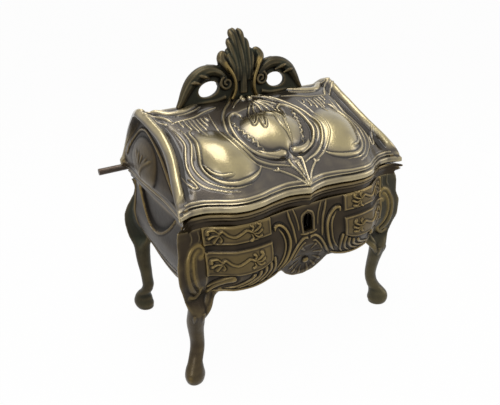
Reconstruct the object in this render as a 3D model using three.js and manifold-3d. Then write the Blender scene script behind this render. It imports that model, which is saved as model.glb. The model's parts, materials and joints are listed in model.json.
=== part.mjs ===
// Jewellery casket, cast in brass in the shape of a small rococo commode.
// Four cabriole corner legs carry serpentine panels, a flared rim frame and a base plate. The domed lid
// turns on a long hinge pin at the back, carries an openwork crest and is held shut by a small box lock.
// Millimetres, +Z up, front towards -Y, the origin under the middle of the whole object.

import * as THREE from 'three';
import { mergeVertices } from 'three/addons/utils/BufferGeometryUtils.js';
import Module from 'manifold-3d';

const wasm = await Module();
wasm.setup();

// Driving dimensions

const castWall = 2.6;
const jointGap = 0.3;

const rimTop = 101.9;
const rimHeight = 6.3;
const postInnerX = 57;
const postInnerY = 36.5;
const sideX = 64.5;
const sideBow = 1.0;
const backY = 41;
const shieldRelief = 1.6;

const ridgeY = 15;
const lidRise = 38;
const rollWidth = 3.3;
const rollHeight = 1.3;
const sideBulgeHeight = 3.4;
const middleBulgeHeight = 4.6;
const cartoucheHollow = 1;

const hingeY = 46;
const hingeDrop = 1.1;
const pinRadius = 2;
const pinLength = 130;
const pinLeftEnd = -82.9;
const pinClearance = 0.08;
const knuckleWall = 1.4;
const knuckleClearance = 0.35;
const knuckleWidth = 10;
const middleKnuckleWidth = 14;
const outerKnuckleX = 57;

const plateBottom = 56;
const plateThickness = 2;
const lugWidth = 8.8;
const lugDepth = 8;
const lugHeight = 3.9;
const baseScrewRadius = 1.5;
const screwClearance = 0.2;
const screwHeadHeight = 1.5;

const drawerInnerX = 23.5;
const drawerRelief = 1.1;
const upperDrawerBottom = 85.4;
const lowerDrawerTop = 82.4;
const lowerDrawerBottom = 67.6;

const shellBeadRadius = 2.1;
const shellBeadZ = 60.9;
const keyholeWidth = 5.7;
const keyholeHeight = 9.8;
const keyholeBottom = 80.5;
const lockSeatY = -47.9;
const lockPlateWidth = 26;
const lockBoxWidth = 17.6;
const lockBottom = 76;
const lockDepth = 5.4;
const lockWall = 1;
const lockCoverThickness = 0.8;
const lockScrewRadius = 0.9;
const boltHeight = 2.8;
const boltThickness = 1.1;
const boltClearance = 0.3;
const stapleWidth = 2.2;
const stapleDepth = 3.2;

const liningThickness = 2;
const floorPadThickness = 3;

const crestThickness = 4.4;
const crestHoleX = 22.2;
const crestHoleZ = 147.5;
const crestScrewX = 6;
const crestScrewRadius = 1.2;

// Outlines, each as a few points that a smooth curve passes through

const LID_FRONT = [[0, -55], [6, -52.5], [12, -51.3], [20, -52.3], [30, -54.5], [36, -54.8], [42, -53.5],
  [50, -48.5], [57, -45], [62, -44.6], [66, -46], [70, -48]];
const RIM_FRONT = [[0, -54.2], [5, -52], [12, -51], [20, -51.8], [30, -53.7], [36, -54], [43, -52.5],
  [50, -48.2], [57, -44.8], [62, -44.3], [66, -45.6], [70, -49]];
const RIM_SIDE = [[-49, 70], [-44, 68], [-34, 67], [-13, 66], [2, 66.5], [21, 66.8], [36, 66.4], [42.5, 66.6]];
const LID_SIDE = [[-48, 70], [-42, 68.4], [-34, 67.4], [-13, 66.4], [2, 66.8], [21, 67.2], [36, 67.2], [46, 69]];
const BODY_FRONT = [[0, -52], [12, -52], [23, -53], [33, -53.6], [44, -52], [50, -48.5], [57, -44.5], [72, -44]];
// outward swell of the body's faces, by the depth below the rim's top
const SWELL = [[0, -1.5], [6, -1.5], [12, -1], [19, 0], [27, 1.2], [34, 0.6], [42, -2.3], [47, -4], [52, -5], [62, -7]];
const APRON_FRONT = [[0, 50.6], [6, 51.6], [12, 55], [16.5, 59.4], [22, 57.3], [30, 55.2], [40, 55.2], [48, 56], [57, 54.6]];
const APRON_SIDE = [[0, 49], [8, 49.4], [16, 51.5], [24, 54], [30, 54.4], [36.5, 54]];
const APRON_BACK = [[0, 56], [20, 54.5], [40, 54.5], [57, 54.6]];
// leg, front and back: height, tip of the diagonal profile, half thickness and half width below the post
const LEG_TIP_FRONT = [[0, 71], [1.6, 71.9], [5, 72.4], [8, 72.5], [11, 71.4], [14, 69.2], [18, 67.4], [23, 66.8],
  [31, 67.6], [39, 69], [46, 70.2], [53, 69.8], [61, 71.3], [68, 73], [76.5, 73.25], [83, 71.7], [91, 71.3], [96, 70]];
const LEG_TIP_BACK = [[0, 71.6], [2, 72.8], [5, 73.4], [9, 72.6], [12, 71.2], [15, 69], [19, 67.9], [28, 68.2],
  [35, 69], [44, 70.2], [55, 71.6], [64, 72.4], [69, 72.2], [75, 70.6], [81, 68], [86, 65.9], [90, 65.2], [96, 66.2]];
const LEG_THICKNESS = [[0, 4.2], [4, 5.4], [8, 5], [12, 4.2], [17, 3.7], [23, 3.7], [31, 4], [39, 4.6], [46, 5.2], [54, 6]];
const LEG_WIDTH = [[0, 4.6], [4, 5.5], [8, 5.2], [12, 4.4], [17, 3.8], [23, 3.8], [31, 4.1], [39, 5.4], [46, 7.2], [54, 9.6]];
const legTipOffset = 27.6;
// lid section from the front edge over the ridge: share of the way to the ridge, height over the lid's
// lower edge, inset from the outline, half width of the dome there
const LID_FRONT_ROWS = [[0, 0, 1.2, 69.2], [0, 1.4, 0, 70], [0, 3.2, 0, 70], [0, 4.6, 1.8, 69.6], [0.07, 8.6, 0.6, 69.2],
  [0.16, 13, 0, 68], [0.27, 17.9, 0, 66], [0.38, 22.3, 0, 64.2], [0.5, 26.5, 0, 63.2], [0.62, 30.2, 0, 63],
  [0.75, 33.2, 0, 63.7], [0.88, 36.2, 0, 64.9], [1, 38, 0, 66]];
const LID_BACK_ROWS = [[0.16, 36.6, 0, 65.6], [0.36, 33, 0, 65], [0.6, 27.4, 0, 64.6], [0.8, 20.6, 0, 64.8],
  [0.94, 12.6, 0, 65.8], [1, 6, 0.2, 67.6], [1, 3.4, 0, 69.2], [1, 1.4, 0, 69.2], [1, 0, 1.2, 68.6]];
const CREST_OUTLINE = [[41.5, 139], [38.6, 143], [36.3, 147.4], [34, 151.6], [30.6, 156], [26.4, 159.2], [21, 160.8],
  [16.6, 160.2], [14.4, 159.4], [14.3, 162.6], [12.4, 165.4], [9.4, 165.3], [6.6, 166.4], [6.3, 171], [5.4, 173.8],
  [3.3, 176.6], [2.2, 179], [0, 180]];
const CREST_SCROLL = [[38.6, 141.5], [35.6, 146.6], [33, 150.8], [29.6, 154.6], [25.2, 157], [20.2, 157.3], [15.6, 155.6],
  [12.4, 152.6], [11, 149.2]];
// cast lines on the right half of the lid's front, as x and the share of the way up to the ridge
const LID_FRAME = [[12.8, 0.67], [13.4, 0.735], [17, 0.745], [22, 0.62], [23.2, 0.5], [20.6, 0.38], [15, 0.285], [8, 0.238],
  [2.6, 0.23]];
const LID_STEM = [[12.6, 0.925], [18.5, 0.84], [25, 0.66], [26.8, 0.46], [21.5, 0.275], [12, 0.185], [3.5, 0.155]];
const LID_LIP = [[16.2, 0.335], [10.8, 0.275], [5.4, 0.272], [2.6, 0.3]];
const BULGE_RING = [[43.5, 0.65], [46, 0.5], [49.5, 0.3], [46, 0.18], [37, 0.14], [25.5, 0.163], [19.8, 0.213]];
const RIDGE_LEAF = [[61, 0.985], [54.5, 0.95], [48.5, 0.9], [43.6, 0.9]];
const FRONT_SCROLL = [[21, 88.6], [17.2, 88], [13.6, 84], [12.2, 78], [13.6, 71], [16.6, 65], [20.4, 61.2]];
// cast ribs on the right half of the front's apron, as x and z: shell ribs, then the gadroons and the edge's line
const SHELL_RIBS = [[[1.6, 57.6], [3, 52.8]], [[3.8, 59.6], [7.8, 55.2]], [[3.8, 65.2], [9.2, 65]]];
const GADROONS = [[[22.3, 69.6], [22.2, 63.8], [25.4, 58.4]], [[25.6, 67.8], [26.2, 62], [30.2, 57.6]],
  [[29.4, 65.8], [32.6, 60.4], [39.4, 57.3]]];
const APRON_LEAF = [[56, 57.6], [51, 63], [46.2, 65.4]];
const HANDLE_BAR = [[51.5, 1.4], [49.4, 3.2], [47, 0.8], [43.8, 0], [40.6, 1.4], [37.6, 2.6], [34.8, 0.8]];

// Curves and meshes

// smooth curve through points, without overshoot
function through(points) {
  const steps = points.slice(1).map((p, k) => (p[1] - points[k][1]) / (p[0] - points[k][0]));
  const slopes = points.map((p, k) => {
    if (k === 0) return steps[0];
    if (k === points.length - 1) return steps[k - 1];
    if (steps[k - 1] * steps[k] <= 0) return 0;
    return 2 / (1 / steps[k - 1] + 1 / steps[k]);
  });
  return (x) => {
    let k = 0;
    while (k < points.length - 2 && x > points[k + 1][0]) k += 1;
    const [x0, y0] = points[k];
    const [x1, y1] = points[k + 1];
    const width = x1 - x0;
    const t = THREE.MathUtils.clamp((x - x0) / width, 0, 1);
    const rise = (3 - 2 * t) * t * t;
    const start = t * (1 - t) * (1 - t) * width * slopes[k];
    const end = t * t * (t - 1) * width * slopes[k + 1];
    return y0 + (y1 - y0) * rise + start + end;
  };
}

function geometryFrom(points, triangles) {
  const geometry = new THREE.BufferGeometry();
  geometry.setAttribute('position', new THREE.Float32BufferAttribute(points.flatMap((p) => [p.x, p.y, p.z]), 3));
  geometry.setIndex(triangles.flat());
  return facingOut(geometry);
}

// turns a closed mesh right side out
function facingOut(geometry) {
  const position = geometry.getAttribute('position');
  const index = geometry.getIndex().array;
  const [a, b, c] = [new THREE.Vector3(), new THREE.Vector3(), new THREE.Vector3()];
  let volume = 0;
  for (let k = 0; k < index.length; k += 3) {
    a.fromBufferAttribute(position, index[k]);
    b.fromBufferAttribute(position, index[k + 1]);
    c.fromBufferAttribute(position, index[k + 2]);
    volume += a.dot(b.cross(c));
  }
  if (volume < 0) {
    for (let k = 0; k < index.length; k += 3) {
      [index[k], index[k + 1]] = [index[k + 1], index[k]];
    }
  }
  return geometry;
}

// closed plate between an outer and an inner sheet of (columns + 1) by (rows + 1) points
function plateBetween(outer, inner, columns, rows) {
  const points = [];
  for (const sheet of [outer, inner]) {
    for (let j = 0; j <= rows; j += 1) {
      for (let i = 0; i <= columns; i += 1) points.push(sheet(i, j));
    }
  }
  const at = (side, i, j) => side * (columns + 1) * (rows + 1) + j * (columns + 1) + i;
  const triangles = [];
  const quad = (a, b, c, d) => triangles.push([a, b, c], [a, c, d]);
  for (let j = 0; j < rows; j += 1) {
    for (let i = 0; i < columns; i += 1) {
      quad(at(0, i, j), at(0, i + 1, j), at(0, i + 1, j + 1), at(0, i, j + 1));
      quad(at(1, i, j), at(1, i, j + 1), at(1, i + 1, j + 1), at(1, i + 1, j));
    }
  }
  for (let i = 0; i < columns; i += 1) {
    quad(at(0, i, 0), at(1, i, 0), at(1, i + 1, 0), at(0, i + 1, 0));
    quad(at(0, i + 1, rows), at(1, i + 1, rows), at(1, i, rows), at(0, i, rows));
  }
  for (let j = 0; j < rows; j += 1) {
    quad(at(0, 0, j + 1), at(1, 0, j + 1), at(1, 0, j), at(0, 0, j));
    quad(at(0, columns, j), at(1, columns, j), at(1, columns, j + 1), at(0, columns, j + 1));
  }
  return geometryFrom(points, triangles);
}

// closed body through sections of equal length, the ends filled flat
function loft(sections) {
  const count = sections[0].length;
  const points = sections.flat();
  const triangles = [];
  for (let j = 0; j + 1 < sections.length; j += 1) {
    for (let i = 0; i < count; i += 1) {
      const next = (i + 1) % count;
      const low = j * count;
      const high = low + count;
      triangles.push([low + i, low + next, high + next], [low + i, high + next, high + i]);
    }
  }
  const cap = (section) => THREE.ShapeUtils.triangulateShape(section.map((p) => new THREE.Vector2(p.x, p.y)), []);
  const firstLoop = sections[0];
  const lastLoop = sections[sections.length - 1];
  const lastStart = (sections.length - 1) * count;
  const clockwise = THREE.ShapeUtils.isClockWise(firstLoop.map((p) => new THREE.Vector2(p.x, p.y)));
  const turned = ([a, b, c]) => (clockwise ? [a, b, c] : [c, b, a]);
  cap(firstLoop).forEach((t) => triangles.push(turned(t)));
  cap(lastLoop).forEach(([a, b, c]) => triangles.push(turned([c, b, a]).map((k) => lastStart + k)));
  return geometryFrom(points, triangles);
}

// round bar that tapers along a path; across is a direction that the path never follows
function bar(path, radiusAt, sides, across) {
  const points = [];
  const last = path.length - 1;
  path.forEach((centre, k) => {
    const along = path[Math.min(k + 1, last)].clone().sub(path[Math.max(k - 1, 0)]).normalize();
    const side = across.clone().addScaledVector(along, -across.dot(along)).normalize();
    const up = along.clone().cross(side);
    for (let i = 0; i < sides; i += 1) {
      const turn = (2 * Math.PI * i) / sides;
      const radius = radiusAt(k / last);
      points.push(centre.clone().addScaledVector(side, radius * Math.cos(turn)).addScaledVector(up, radius * Math.sin(turn)));
    }
  });
  const triangles = [];
  for (let k = 0; k < last; k += 1) {
    for (let i = 0; i < sides; i += 1) {
      const next = (i + 1) % sides;
      const low = k * sides;
      triangles.push([low + i, low + next, low + sides + next], [low + i, low + sides + next, low + sides + i]);
    }
  }
  for (let i = 1; i + 1 < sides; i += 1) {
    triangles.push([0, i + 1, i], [last * sides, last * sides + i, last * sides + i + 1]);
  }
  return geometryFrom(points, triangles);
}

function boxBetween(low, high) {
  const size = high.map((value, k) => value - low[k]);
  const geometry = new THREE.BoxGeometry(...size);
  return geometry.translate(...high.map((value, k) => (value + low[k]) / 2));
}

// round rod along X
function rodAlongX(radius, fromX, toX, y, z) {
  const geometry = new THREE.CylinderGeometry(radius, radius, toX - fromX, 16);
  geometry.rotateZ(Math.PI / 2);
  return geometry.translate((fromX + toX) / 2, y, z);
}

function roundAlongZ(radius, fromZ, toZ, x, y, sides = 12) {
  const geometry = new THREE.CylinderGeometry(radius, radius, toZ - fromZ, sides);
  geometry.rotateX(Math.PI / 2);
  return geometry.translate(x, y, (fromZ + toZ) / 2);
}

function roundAlongY(radius, fromY, toY, x, z, sides = 12) {
  return new THREE.CylinderGeometry(radius, radius, toY - fromY, sides).translate(x, (fromY + toY) / 2, z);
}

// Joining and cutting

function solid(geometry) {
  const bare = geometry.clone();
  bare.deleteAttribute('normal');
  bare.deleteAttribute('uv');
  const merged = mergeVertices(bare, 1e-4);
  return new wasm.Manifold(new wasm.Mesh({
    numProp: 3,
    vertProperties: merged.getAttribute('position').array,
    triVerts: Uint32Array.from(merged.getIndex().array),
  }));
}

function combine(base, added, cut) {
  let result = solid(base);
  added.forEach((piece) => { result = result.add(solid(piece)); });
  cut.forEach((piece) => { result = result.subtract(solid(piece)); });
  const mesh = result.getMesh();
  const geometry = new THREE.BufferGeometry();
  geometry.setAttribute('position', new THREE.BufferAttribute(new Float32Array(mesh.vertProperties), 3));
  geometry.setIndex(Array.from(mesh.triVerts));
  return geometry;
}

function mirrored(geometry, x, y) {
  const copy = geometry.index ? geometry.clone() : mergeVertices(geometry);
  copy.scale(x, y, 1);
  return facingOut(copy);
}

// Surfaces of the casting

const lidFront = through(LID_FRONT);
const rimFront = through(RIM_FRONT);
const rimSide = through(RIM_SIDE);
const lidSide = through(LID_SIDE);
const bodyFront = through(BODY_FRONT);
const swellAtDepth = through(SWELL);
const apronFront = through(APRON_FRONT);
const apronSide = through(APRON_SIDE);
const apronBack = through(APRON_BACK);

const rimBottom = rimTop - rimHeight;
const panelTop = rimBottom - jointGap;
const panelEndX = postInnerX - jointGap;
const panelEndY = postInnerY - jointGap;
const lidBottom = rimTop + jointGap;
const hingeZ = rimTop - hingeDrop;
const knuckleRadius = pinRadius + pinClearance + knuckleWall - 0.08;
const rimBackY = backY + 1.5;
const lidBackY = hingeY - 1.5;

const swell = (z) => swellAtDepth(rimTop - z);
const frontFace = (x, z) => bodyFront(Math.abs(x)) - swell(z);
const backFace = (z) => backY + 0.6 * swell(z);

// the raised shield of the side panel has a hanging curve as its top edge
function sideFace(y, z) {
  const shieldTop = 79 + 14 * (y / 25) ** 2;
  const inShield = THREE.MathUtils.smoothstep(shieldTop - z, -1.5, 1.5);
  return sideX + sideBow * Math.cos((Math.PI * y) / (2 * postInnerY)) + 1.1 * swell(z) + shieldRelief * inShield;
}

// the smooth bulges and the end roll that stand out of the lid's front
function lidRelief(x, share, halfWidth) {
  const bulge = (height, centreX, reachX, centreShare, reachShare) => {
    const away = ((Math.abs(x) - centreX) / reachX) ** 2 + ((share - centreShare) / reachShare) ** 2;
    return away < 1 ? height * Math.sqrt(1 - away) : 0;
  };
  const hollow = bulge(cartoucheHollow, 0, 25, 0.5, 0.3);
  const fromEnd = halfWidth - Math.abs(x);
  const roll = fromEnd < rollWidth ? rollHeight * Math.sin((Math.PI * fromEnd) / rollWidth) : 0;
  return bulge(sideBulgeHeight, 38.5, 10.5, 0.4, 0.28) + bulge(middleBulgeHeight, 0, 17, 0.5, 0.25) - hollow + roll;
}

const lidRows = [
  ...LID_FRONT_ROWS.map(([share, height, inset, halfWidth]) => ({ side: -1, share, height, inset, halfWidth })),
  ...LID_BACK_ROWS.map(([share, height, inset, halfWidth]) => ({ side: 1, share, height, inset, halfWidth })),
];
const lidSectionHeight = LID_FRONT_ROWS[LID_FRONT_ROWS.length - 1][1];
const lidScale = lidRise / lidSectionHeight;
const lidBack = (x) => lidBackY + 2 * (Math.abs(x) / 70) ** 6;

// point of the lid's skin at x on a row; offset moves it out of the skin, and into it when negative
function lidPoint(x, row, offset) {
  const outline = row.side < 0 ? lidFront(Math.abs(x)) : lidBack(x);
  const start = outline - row.side * (offset < 0 ? LID_FRONT_ROWS[0][2] : row.inset);
  const rise = row.side < 0 ? row.share : 1 - row.share;
  const lean = (Math.PI / 2) * (row.side < 0 ? row.share ** 0.8 : 1 - row.share ** 1.6);
  const reach = row.side < 0 ? ridgeY - start : start - ridgeY;
  const y = row.side < 0 ? start + reach * row.share : ridgeY + reach * row.share;
  const relief = offset >= 0 && row.side < 0 && rise > 0 ? lidRelief(x, row.share, row.halfWidth) : 0;
  const out = offset + relief;
  const z = lidBottom + row.height * lidScale;
  const flat = row.share === 0 || (row.side > 0 && row.share === 1);
  const up = flat ? 0 : Math.sin(lean) * out;
  return new THREE.Vector3(x, y + row.side * Math.cos(lean) * out, z + up);
}

function lidColumns(halfWidth) {
  const middle = 16;
  const inner = halfWidth - 1.5 * rollWidth;
  const columns = [-halfWidth, -halfWidth + rollWidth / 2, -halfWidth + rollWidth];
  for (let i = 0; i <= middle; i += 1) columns.push(-inner + (2 * inner * i) / middle);
  return [...columns, halfWidth - rollWidth, halfWidth - rollWidth / 2, halfWidth];
}

// depth of the lid's inner skin at x and a height, towards the front or the back
function lidInnerY(x, z, side) {
  const rows = lidRows.filter((row) => row.side === side || row.share === 1);
  const line = rows.map((row) => lidPoint(x, row, -castWall)).sort((a, b) => a.z - b.z);
  let k = 0;
  while (k < line.length - 2 && z > line[k + 1].z) k += 1;
  const t = THREE.MathUtils.clamp((z - line[k].z) / Math.max(line[k + 1].z - line[k].z, 1e-6), 0, 1);
  return THREE.MathUtils.lerp(line[k].y, line[k + 1].y, t);
}

// Body

function panel(columns, rows, halfLength, lowEdge, place) {
  const point = (depth) => (i, j) => {
    const along = -halfLength + (2 * halfLength * i) / columns;
    const low = lowEdge(Math.abs(along));
    const z = low + ((panelTop - low) * j) / rows;
    return place(along, z, depth);
  };
  return plateBetween(point(0), point(castWall), columns, rows);
}

function onFront(x, z, out) {
  return new THREE.Vector3(x, frontFace(x, z) - out, z);
}

// one sham drawer, raised on the front; its inner lower corner is cut round where cornerRise says
function shamDrawer(side, low, high, cornerRise) {
  const columns = 6;
  const rows = 2;
  const point = (out) => (i, j) => {
    const x = drawerInnerX + ((panelEndX - drawerInnerX) * i) / columns;
    const cornered = low + cornerRise * Math.max(0, 1 - i / 1.5) ** 2;
    return onFront(side * x, cornered + ((high - cornered) * j) / rows, out);
  };
  return plateBetween(point(drawerRelief), point(-castWall / 2), columns, rows);
}

const facingFront = new THREE.Vector3(0, 1, 0);

function drawerHandle(side, z) {
  const path = HANDLE_BAR.map(([x, rise]) => onFront(side * x, z + rise, drawerRelief + 0.09));
  return bar(path, (t) => 0.75 + 0.35 * Math.abs(2 * t - 1), 4, facingFront);
}

// ribs of the shell and of the apron beside it, with the leaf that springs from the leg
function apronRibs(side) {
  const along = ([x, z]) => onFront(side * x, z, 0.1);
  const rib = (points, radius) => bar(points.map(along), (t) => radius * (1 - 0.45 * t), 4, facingFront);
  return [...SHELL_RIBS.map((points) => rib(points, 0.9)), ...GADROONS.map((points) => rib(points, 1.4)), rib(APRON_LEAF, 1.1)];
}

function frontScroll(side) {
  const path = FRONT_SCROLL.map(([x, z]) => onFront(side * x, z, 0.2));
  return bar(path, (t) => 1.3 - 0.5 * t, 6, facingFront);
}

// arched keyhole as a prism along Y
function keyholePrism(fromY, toY) {
  const half = keyholeWidth / 2;
  const shape = new THREE.Shape();
  shape.moveTo(-half, 0);
  shape.lineTo(half, 0);
  shape.lineTo(half, keyholeHeight - half);
  shape.absarc(0, keyholeHeight - half, half, 0, Math.PI, false);
  const prism = new THREE.ExtrudeGeometry(shape, { depth: toY - fromY, bevelEnabled: false, curveSegments: 8 });
  prism.rotateX(Math.PI / 2);
  return prism.translate(0, toY, keyholeBottom);
}

function keyholeFrame() {
  const reach = keyholeWidth / 2 + 1.4;
  const archZ = keyholeBottom + keyholeHeight - keyholeWidth / 2;
  const path = [onFront(-reach, keyholeBottom, 0.2)];
  for (let k = 0; k <= 6; k += 1) {
    const turn = Math.PI * (1 - k / 6);
    path.push(onFront(reach * Math.cos(turn), archZ + reach * Math.sin(turn), 0.2));
  }
  path.push(onFront(reach, keyholeBottom, 0.2));
  return bar(path, () => 0.8, 5, facingFront);
}

const lockScrewX = (lockPlateWidth + lockBoxWidth) / 4;
const lockScrewZ = lockBottom + 4;

function frontPanel() {
  const base = panel(24, 8, panelEndX, apronFront, (x, z, depth) => onFront(x, z, -depth));
  const lockSeat = boxBetween([-lockPlateWidth / 2 - 1, lockSeatY - castWall, lockBottom - 1],
    [lockPlateWidth / 2 + 1, lockSeatY, panelTop]);
  const bead = new THREE.SphereGeometry(shellBeadRadius, 7, 5).translate(0, frontFace(0, shellBeadZ), shellBeadZ);
  const added = [lockSeat, keyholeFrame(), bead];
  for (const side of [-1, 1]) {
    added.push(shamDrawer(side, upperDrawerBottom, panelTop, 0), shamDrawer(side, lowerDrawerBottom, lowerDrawerTop, 6));
    added.push(drawerHandle(side, upperDrawerBottom + 5.2), drawerHandle(side, lowerDrawerBottom + 7));
    added.push(frontScroll(side), ...apronRibs(side));
  }
  const cut = [keyholePrism(-70, lockSeatY + 5)];
  for (const side of [-1, 1]) {
    cut.push(roundAlongY(lockScrewRadius + screwClearance, lockSeatY - 2, lockSeatY + 3, side * lockScrewX, lockScrewZ, 8));
  }
  return combine(base, added, cut);
}

function sidePanel(side) {
  return panel(9, 8, panelEndY, apronSide, (y, z, depth) => new THREE.Vector3(side * (sideFace(y, z) - depth), y, z));
}

function backPanel() {
  return panel(10, 5, panelEndX, apronBack, (x, z, depth) => new THREE.Vector3(x, backFace(z) - depth, z));
}

// Corner leg: round below, and above it a post that both panels end against

const legThickness = through(LEG_THICKNESS);
const legWidth = through(LEG_WIDTH);
const postStart = 49.5;
const postBlend = 4.8;
const postFull = postStart + postBlend;
const legStations = [0, 2, 4, 7, 10, 13, 17, 23, 31, 40, postStart, postFull, 60, 68, 76.5, 83, 88, panelTop];

function legSection(z, tipAt, postFrontY) {
  const tipX = tipAt(z);
  const tipY = legTipOffset - tipX;
  const half = Math.SQRT1_2;
  const [depth, width] = [legThickness(z), legWidth(z)];
  const centre = [tipX - depth * half, tipY + depth * half];
  const round = [];
  for (let k = 0; k < 12; k += 1) {
    const turn = (2 * Math.PI * k) / 12;
    const [out, front] = [depth * Math.cos(turn), width * Math.sin(turn)];
    round.push([centre[0] + half * out - half * front, centre[1] - half * out - half * front]);
  }
  const faceY = postFrontY(z);
  const sideEnd = sideFace(postInnerY, z);
  const between = THREE.MathUtils.lerp;
  const innerY = -postInnerY;
  const post = [
    [tipX, tipY],
    [between(tipX, postInnerX, 0.25), between(tipY, faceY, 0.3)],
    [between(tipX, postInnerX, 0.6), between(tipY, faceY, 0.9)],
    [postInnerX, faceY],
    [postInnerX, Math.min(faceY + castWall + 1.2, innerY - 0.6)],
    [postInnerX + 2.6, innerY - 0.9],
    [sideEnd - castWall - 1, innerY],
    [sideEnd - castWall + 0.6, innerY],
    [sideEnd, innerY],
    [between(tipX, sideEnd, 0.7), between(tipY, innerY, 0.6)],
    [between(tipX, sideEnd, 0.25), between(tipY, innerY, 0.3)],
    [tipX - 0.1, between(tipY, innerY, 0.1)],
  ];
  const share = THREE.MathUtils.clamp((z - postStart) / (postFull - postStart), 0, 1);
  return round.map(([x, y], k) => new THREE.Vector3(
    THREE.MathUtils.lerp(x, post[k][0], share),
    THREE.MathUtils.lerp(y, post[k][1], share),
    z,
  ));
}

// lug inside the post that takes the base screw, joined to the post's inner corner by a neck
const lugX = postInnerX + 1.2;
const lugY = postInnerY - jointGap;
const lugZ = plateBottom + plateThickness + jointGap;
const lugNeck = 2.2;
const baseScrewX = lugX - lugWidth / 2;
const baseScrewY = lugY - lugDepth / 2;

function legLug() {
  const outline = [[lugX - lugWidth, -lugY], [postInnerX, -lugY], [postInnerX, -lugY - lugNeck], [lugX + 1.4, -lugY - lugNeck],
    [lugX + 1.4, -lugY - 0.6], [lugX, -lugY - 0.3], [lugX, -lugY + lugDepth], [lugX - lugWidth, -lugY + lugDepth]];
  const hole = roundAlongZ(baseScrewRadius + screwClearance, lugZ - 1, lugZ + lugHeight - 0.8, baseScrewX, -baseScrewY);
  return [extrudeUp(outline, lugZ, lugZ + lugHeight), hole];
}

// leg of the front right corner, turned to the other corners by mirroring
function leg(handed, tipList, back) {
  const postFaceY = back ? (z) => -backFace(z) : (z) => frontFace(postInnerX, z);
  const body = loft(legStations.map((z) => legSection(z, through(tipList), postFaceY)));
  const [lug, hole] = legLug();
  return mirrored(combine(body, [lug], [hole]), handed, back ? -1 : 1);
}

// Rim frame

const frameInnerX = postInnerX;
const frameFrontY = -39;
const frameBackY = 37;

// outline of the rim as pairs of an outer and an inner point, once round from the front left corner
function rimOutline() {
  const pairs = [];
  const cornerX = 70;
  const frontSteps = 24;
  const sideSteps = 8;
  const frontCornerY = rimFront(cornerX);
  for (let i = 0; i < frontSteps; i += 1) {
    const x = -cornerX + (2 * cornerX * i) / frontSteps;
    pairs.push([[x, rimFront(Math.abs(x))], [(x * frameInnerX) / cornerX, frameFrontY]]);
  }
  for (let i = 0; i < sideSteps; i += 1) {
    const y = THREE.MathUtils.lerp(frontCornerY, rimBackY, i / sideSteps);
    pairs.push([[rimSide(y), y], [frameInnerX, THREE.MathUtils.lerp(frameFrontY, frameBackY, i / sideSteps)]]);
  }
  const backX = rimSide(rimBackY);
  for (let i = 0; i < sideSteps; i += 1) {
    const x = backX * (1 - (2 * i) / sideSteps);
    pairs.push([[x, rimBackY], [frameInnerX * (1 - (2 * i) / sideSteps), frameBackY]]);
  }
  for (let i = 0; i < sideSteps; i += 1) {
    const y = THREE.MathUtils.lerp(rimBackY, frontCornerY, i / sideSteps);
    pairs.push([[-rimSide(y), y], [-frameInnerX, THREE.MathUtils.lerp(frameBackY, frameFrontY, i / sideSteps)]]);
  }
  return pairs;
}

function knuckleSpans(ofBody) {
  const bodySpans = [
    [-outerKnuckleX - knuckleWidth / 2, -outerKnuckleX + knuckleWidth / 2],
    [-middleKnuckleWidth / 2, middleKnuckleWidth / 2],
    [outerKnuckleX - knuckleWidth / 2, outerKnuckleX + knuckleWidth / 2],
  ];
  if (ofBody) return bodySpans;
  const start = outerKnuckleX - knuckleWidth / 2 - jointGap;
  return [[-start, -start + knuckleWidth], [start - knuckleWidth, start]];
}

const knuckle = ([from, to]) => rodAlongX(knuckleRadius, from, to, hingeY, hingeZ);
const knuckleNotch = ([from, to]) => rodAlongX(knuckleRadius + knuckleClearance, from - jointGap, to + jointGap, hingeY, hingeZ);
const hingeBore = () => rodAlongX(pinRadius + pinClearance, -80, 80, hingeY, hingeZ);

const lockCaseFront = lockSeatY + jointGap;
const lockCaseBack = lockCaseFront + lockDepth;
const stapleBack = lockCaseBack - 0.4;
const stapleFront = stapleBack - stapleDepth;
const stapleSwing = 1.1;

function stapleSlot(fromZ, toZ) {
  const half = stapleWidth / 2 + 1.3;
  return boxBetween([-half, stapleFront - stapleSwing, fromZ], [half, stapleBack + jointGap, toZ]);
}

function rimFrame() {
  // height over the frame's underside and inset from the outline; the last two rows are the inner wall
  const profile = [[0, 2.6], [1.4, 1.6], [3.7, 0.4], [5, 0], [rimHeight, 0.5]];
  const pairs = rimOutline();
  const rowCount = profile.length + 2;
  const points = [];
  for (const [outer, inner] of pairs) {
    const away = Math.hypot(inner[0] - outer[0], inner[1] - outer[1]);
    for (const [height, inset] of profile) {
      const t = inset / away;
      points.push(new THREE.Vector3(THREE.MathUtils.lerp(outer[0], inner[0], t), THREE.MathUtils.lerp(outer[1], inner[1], t), rimBottom + height));
    }
    points.push(new THREE.Vector3(inner[0], inner[1], rimTop), new THREE.Vector3(inner[0], inner[1], rimBottom));
  }
  const triangles = [];
  pairs.forEach((pair, i) => {
    const here = i * rowCount;
    const next = ((i + 1) % pairs.length) * rowCount;
    for (let j = 0; j < rowCount; j += 1) {
      const up = (j + 1) % rowCount;
      triangles.push([here + j, next + j, next + up], [here + j, next + up, here + up]);
    }
  });
  const lug = ([from, to]) => boxBetween([from, rimBackY - 2, hingeZ - knuckleRadius + 0.3], [to, hingeY, hingeZ]);
  const added = knuckleSpans(true).flatMap((span) => [lug(span), knuckle(span)]);
  const cut = [hingeBore(), stapleSlot(rimBottom - 2, rimTop + 2), ...knuckleSpans(false).map(knuckleNotch)];
  return combine(geometryFrom(points, triangles), added, cut);
}

// Base plate, with its outline a gap inside the panels

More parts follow.
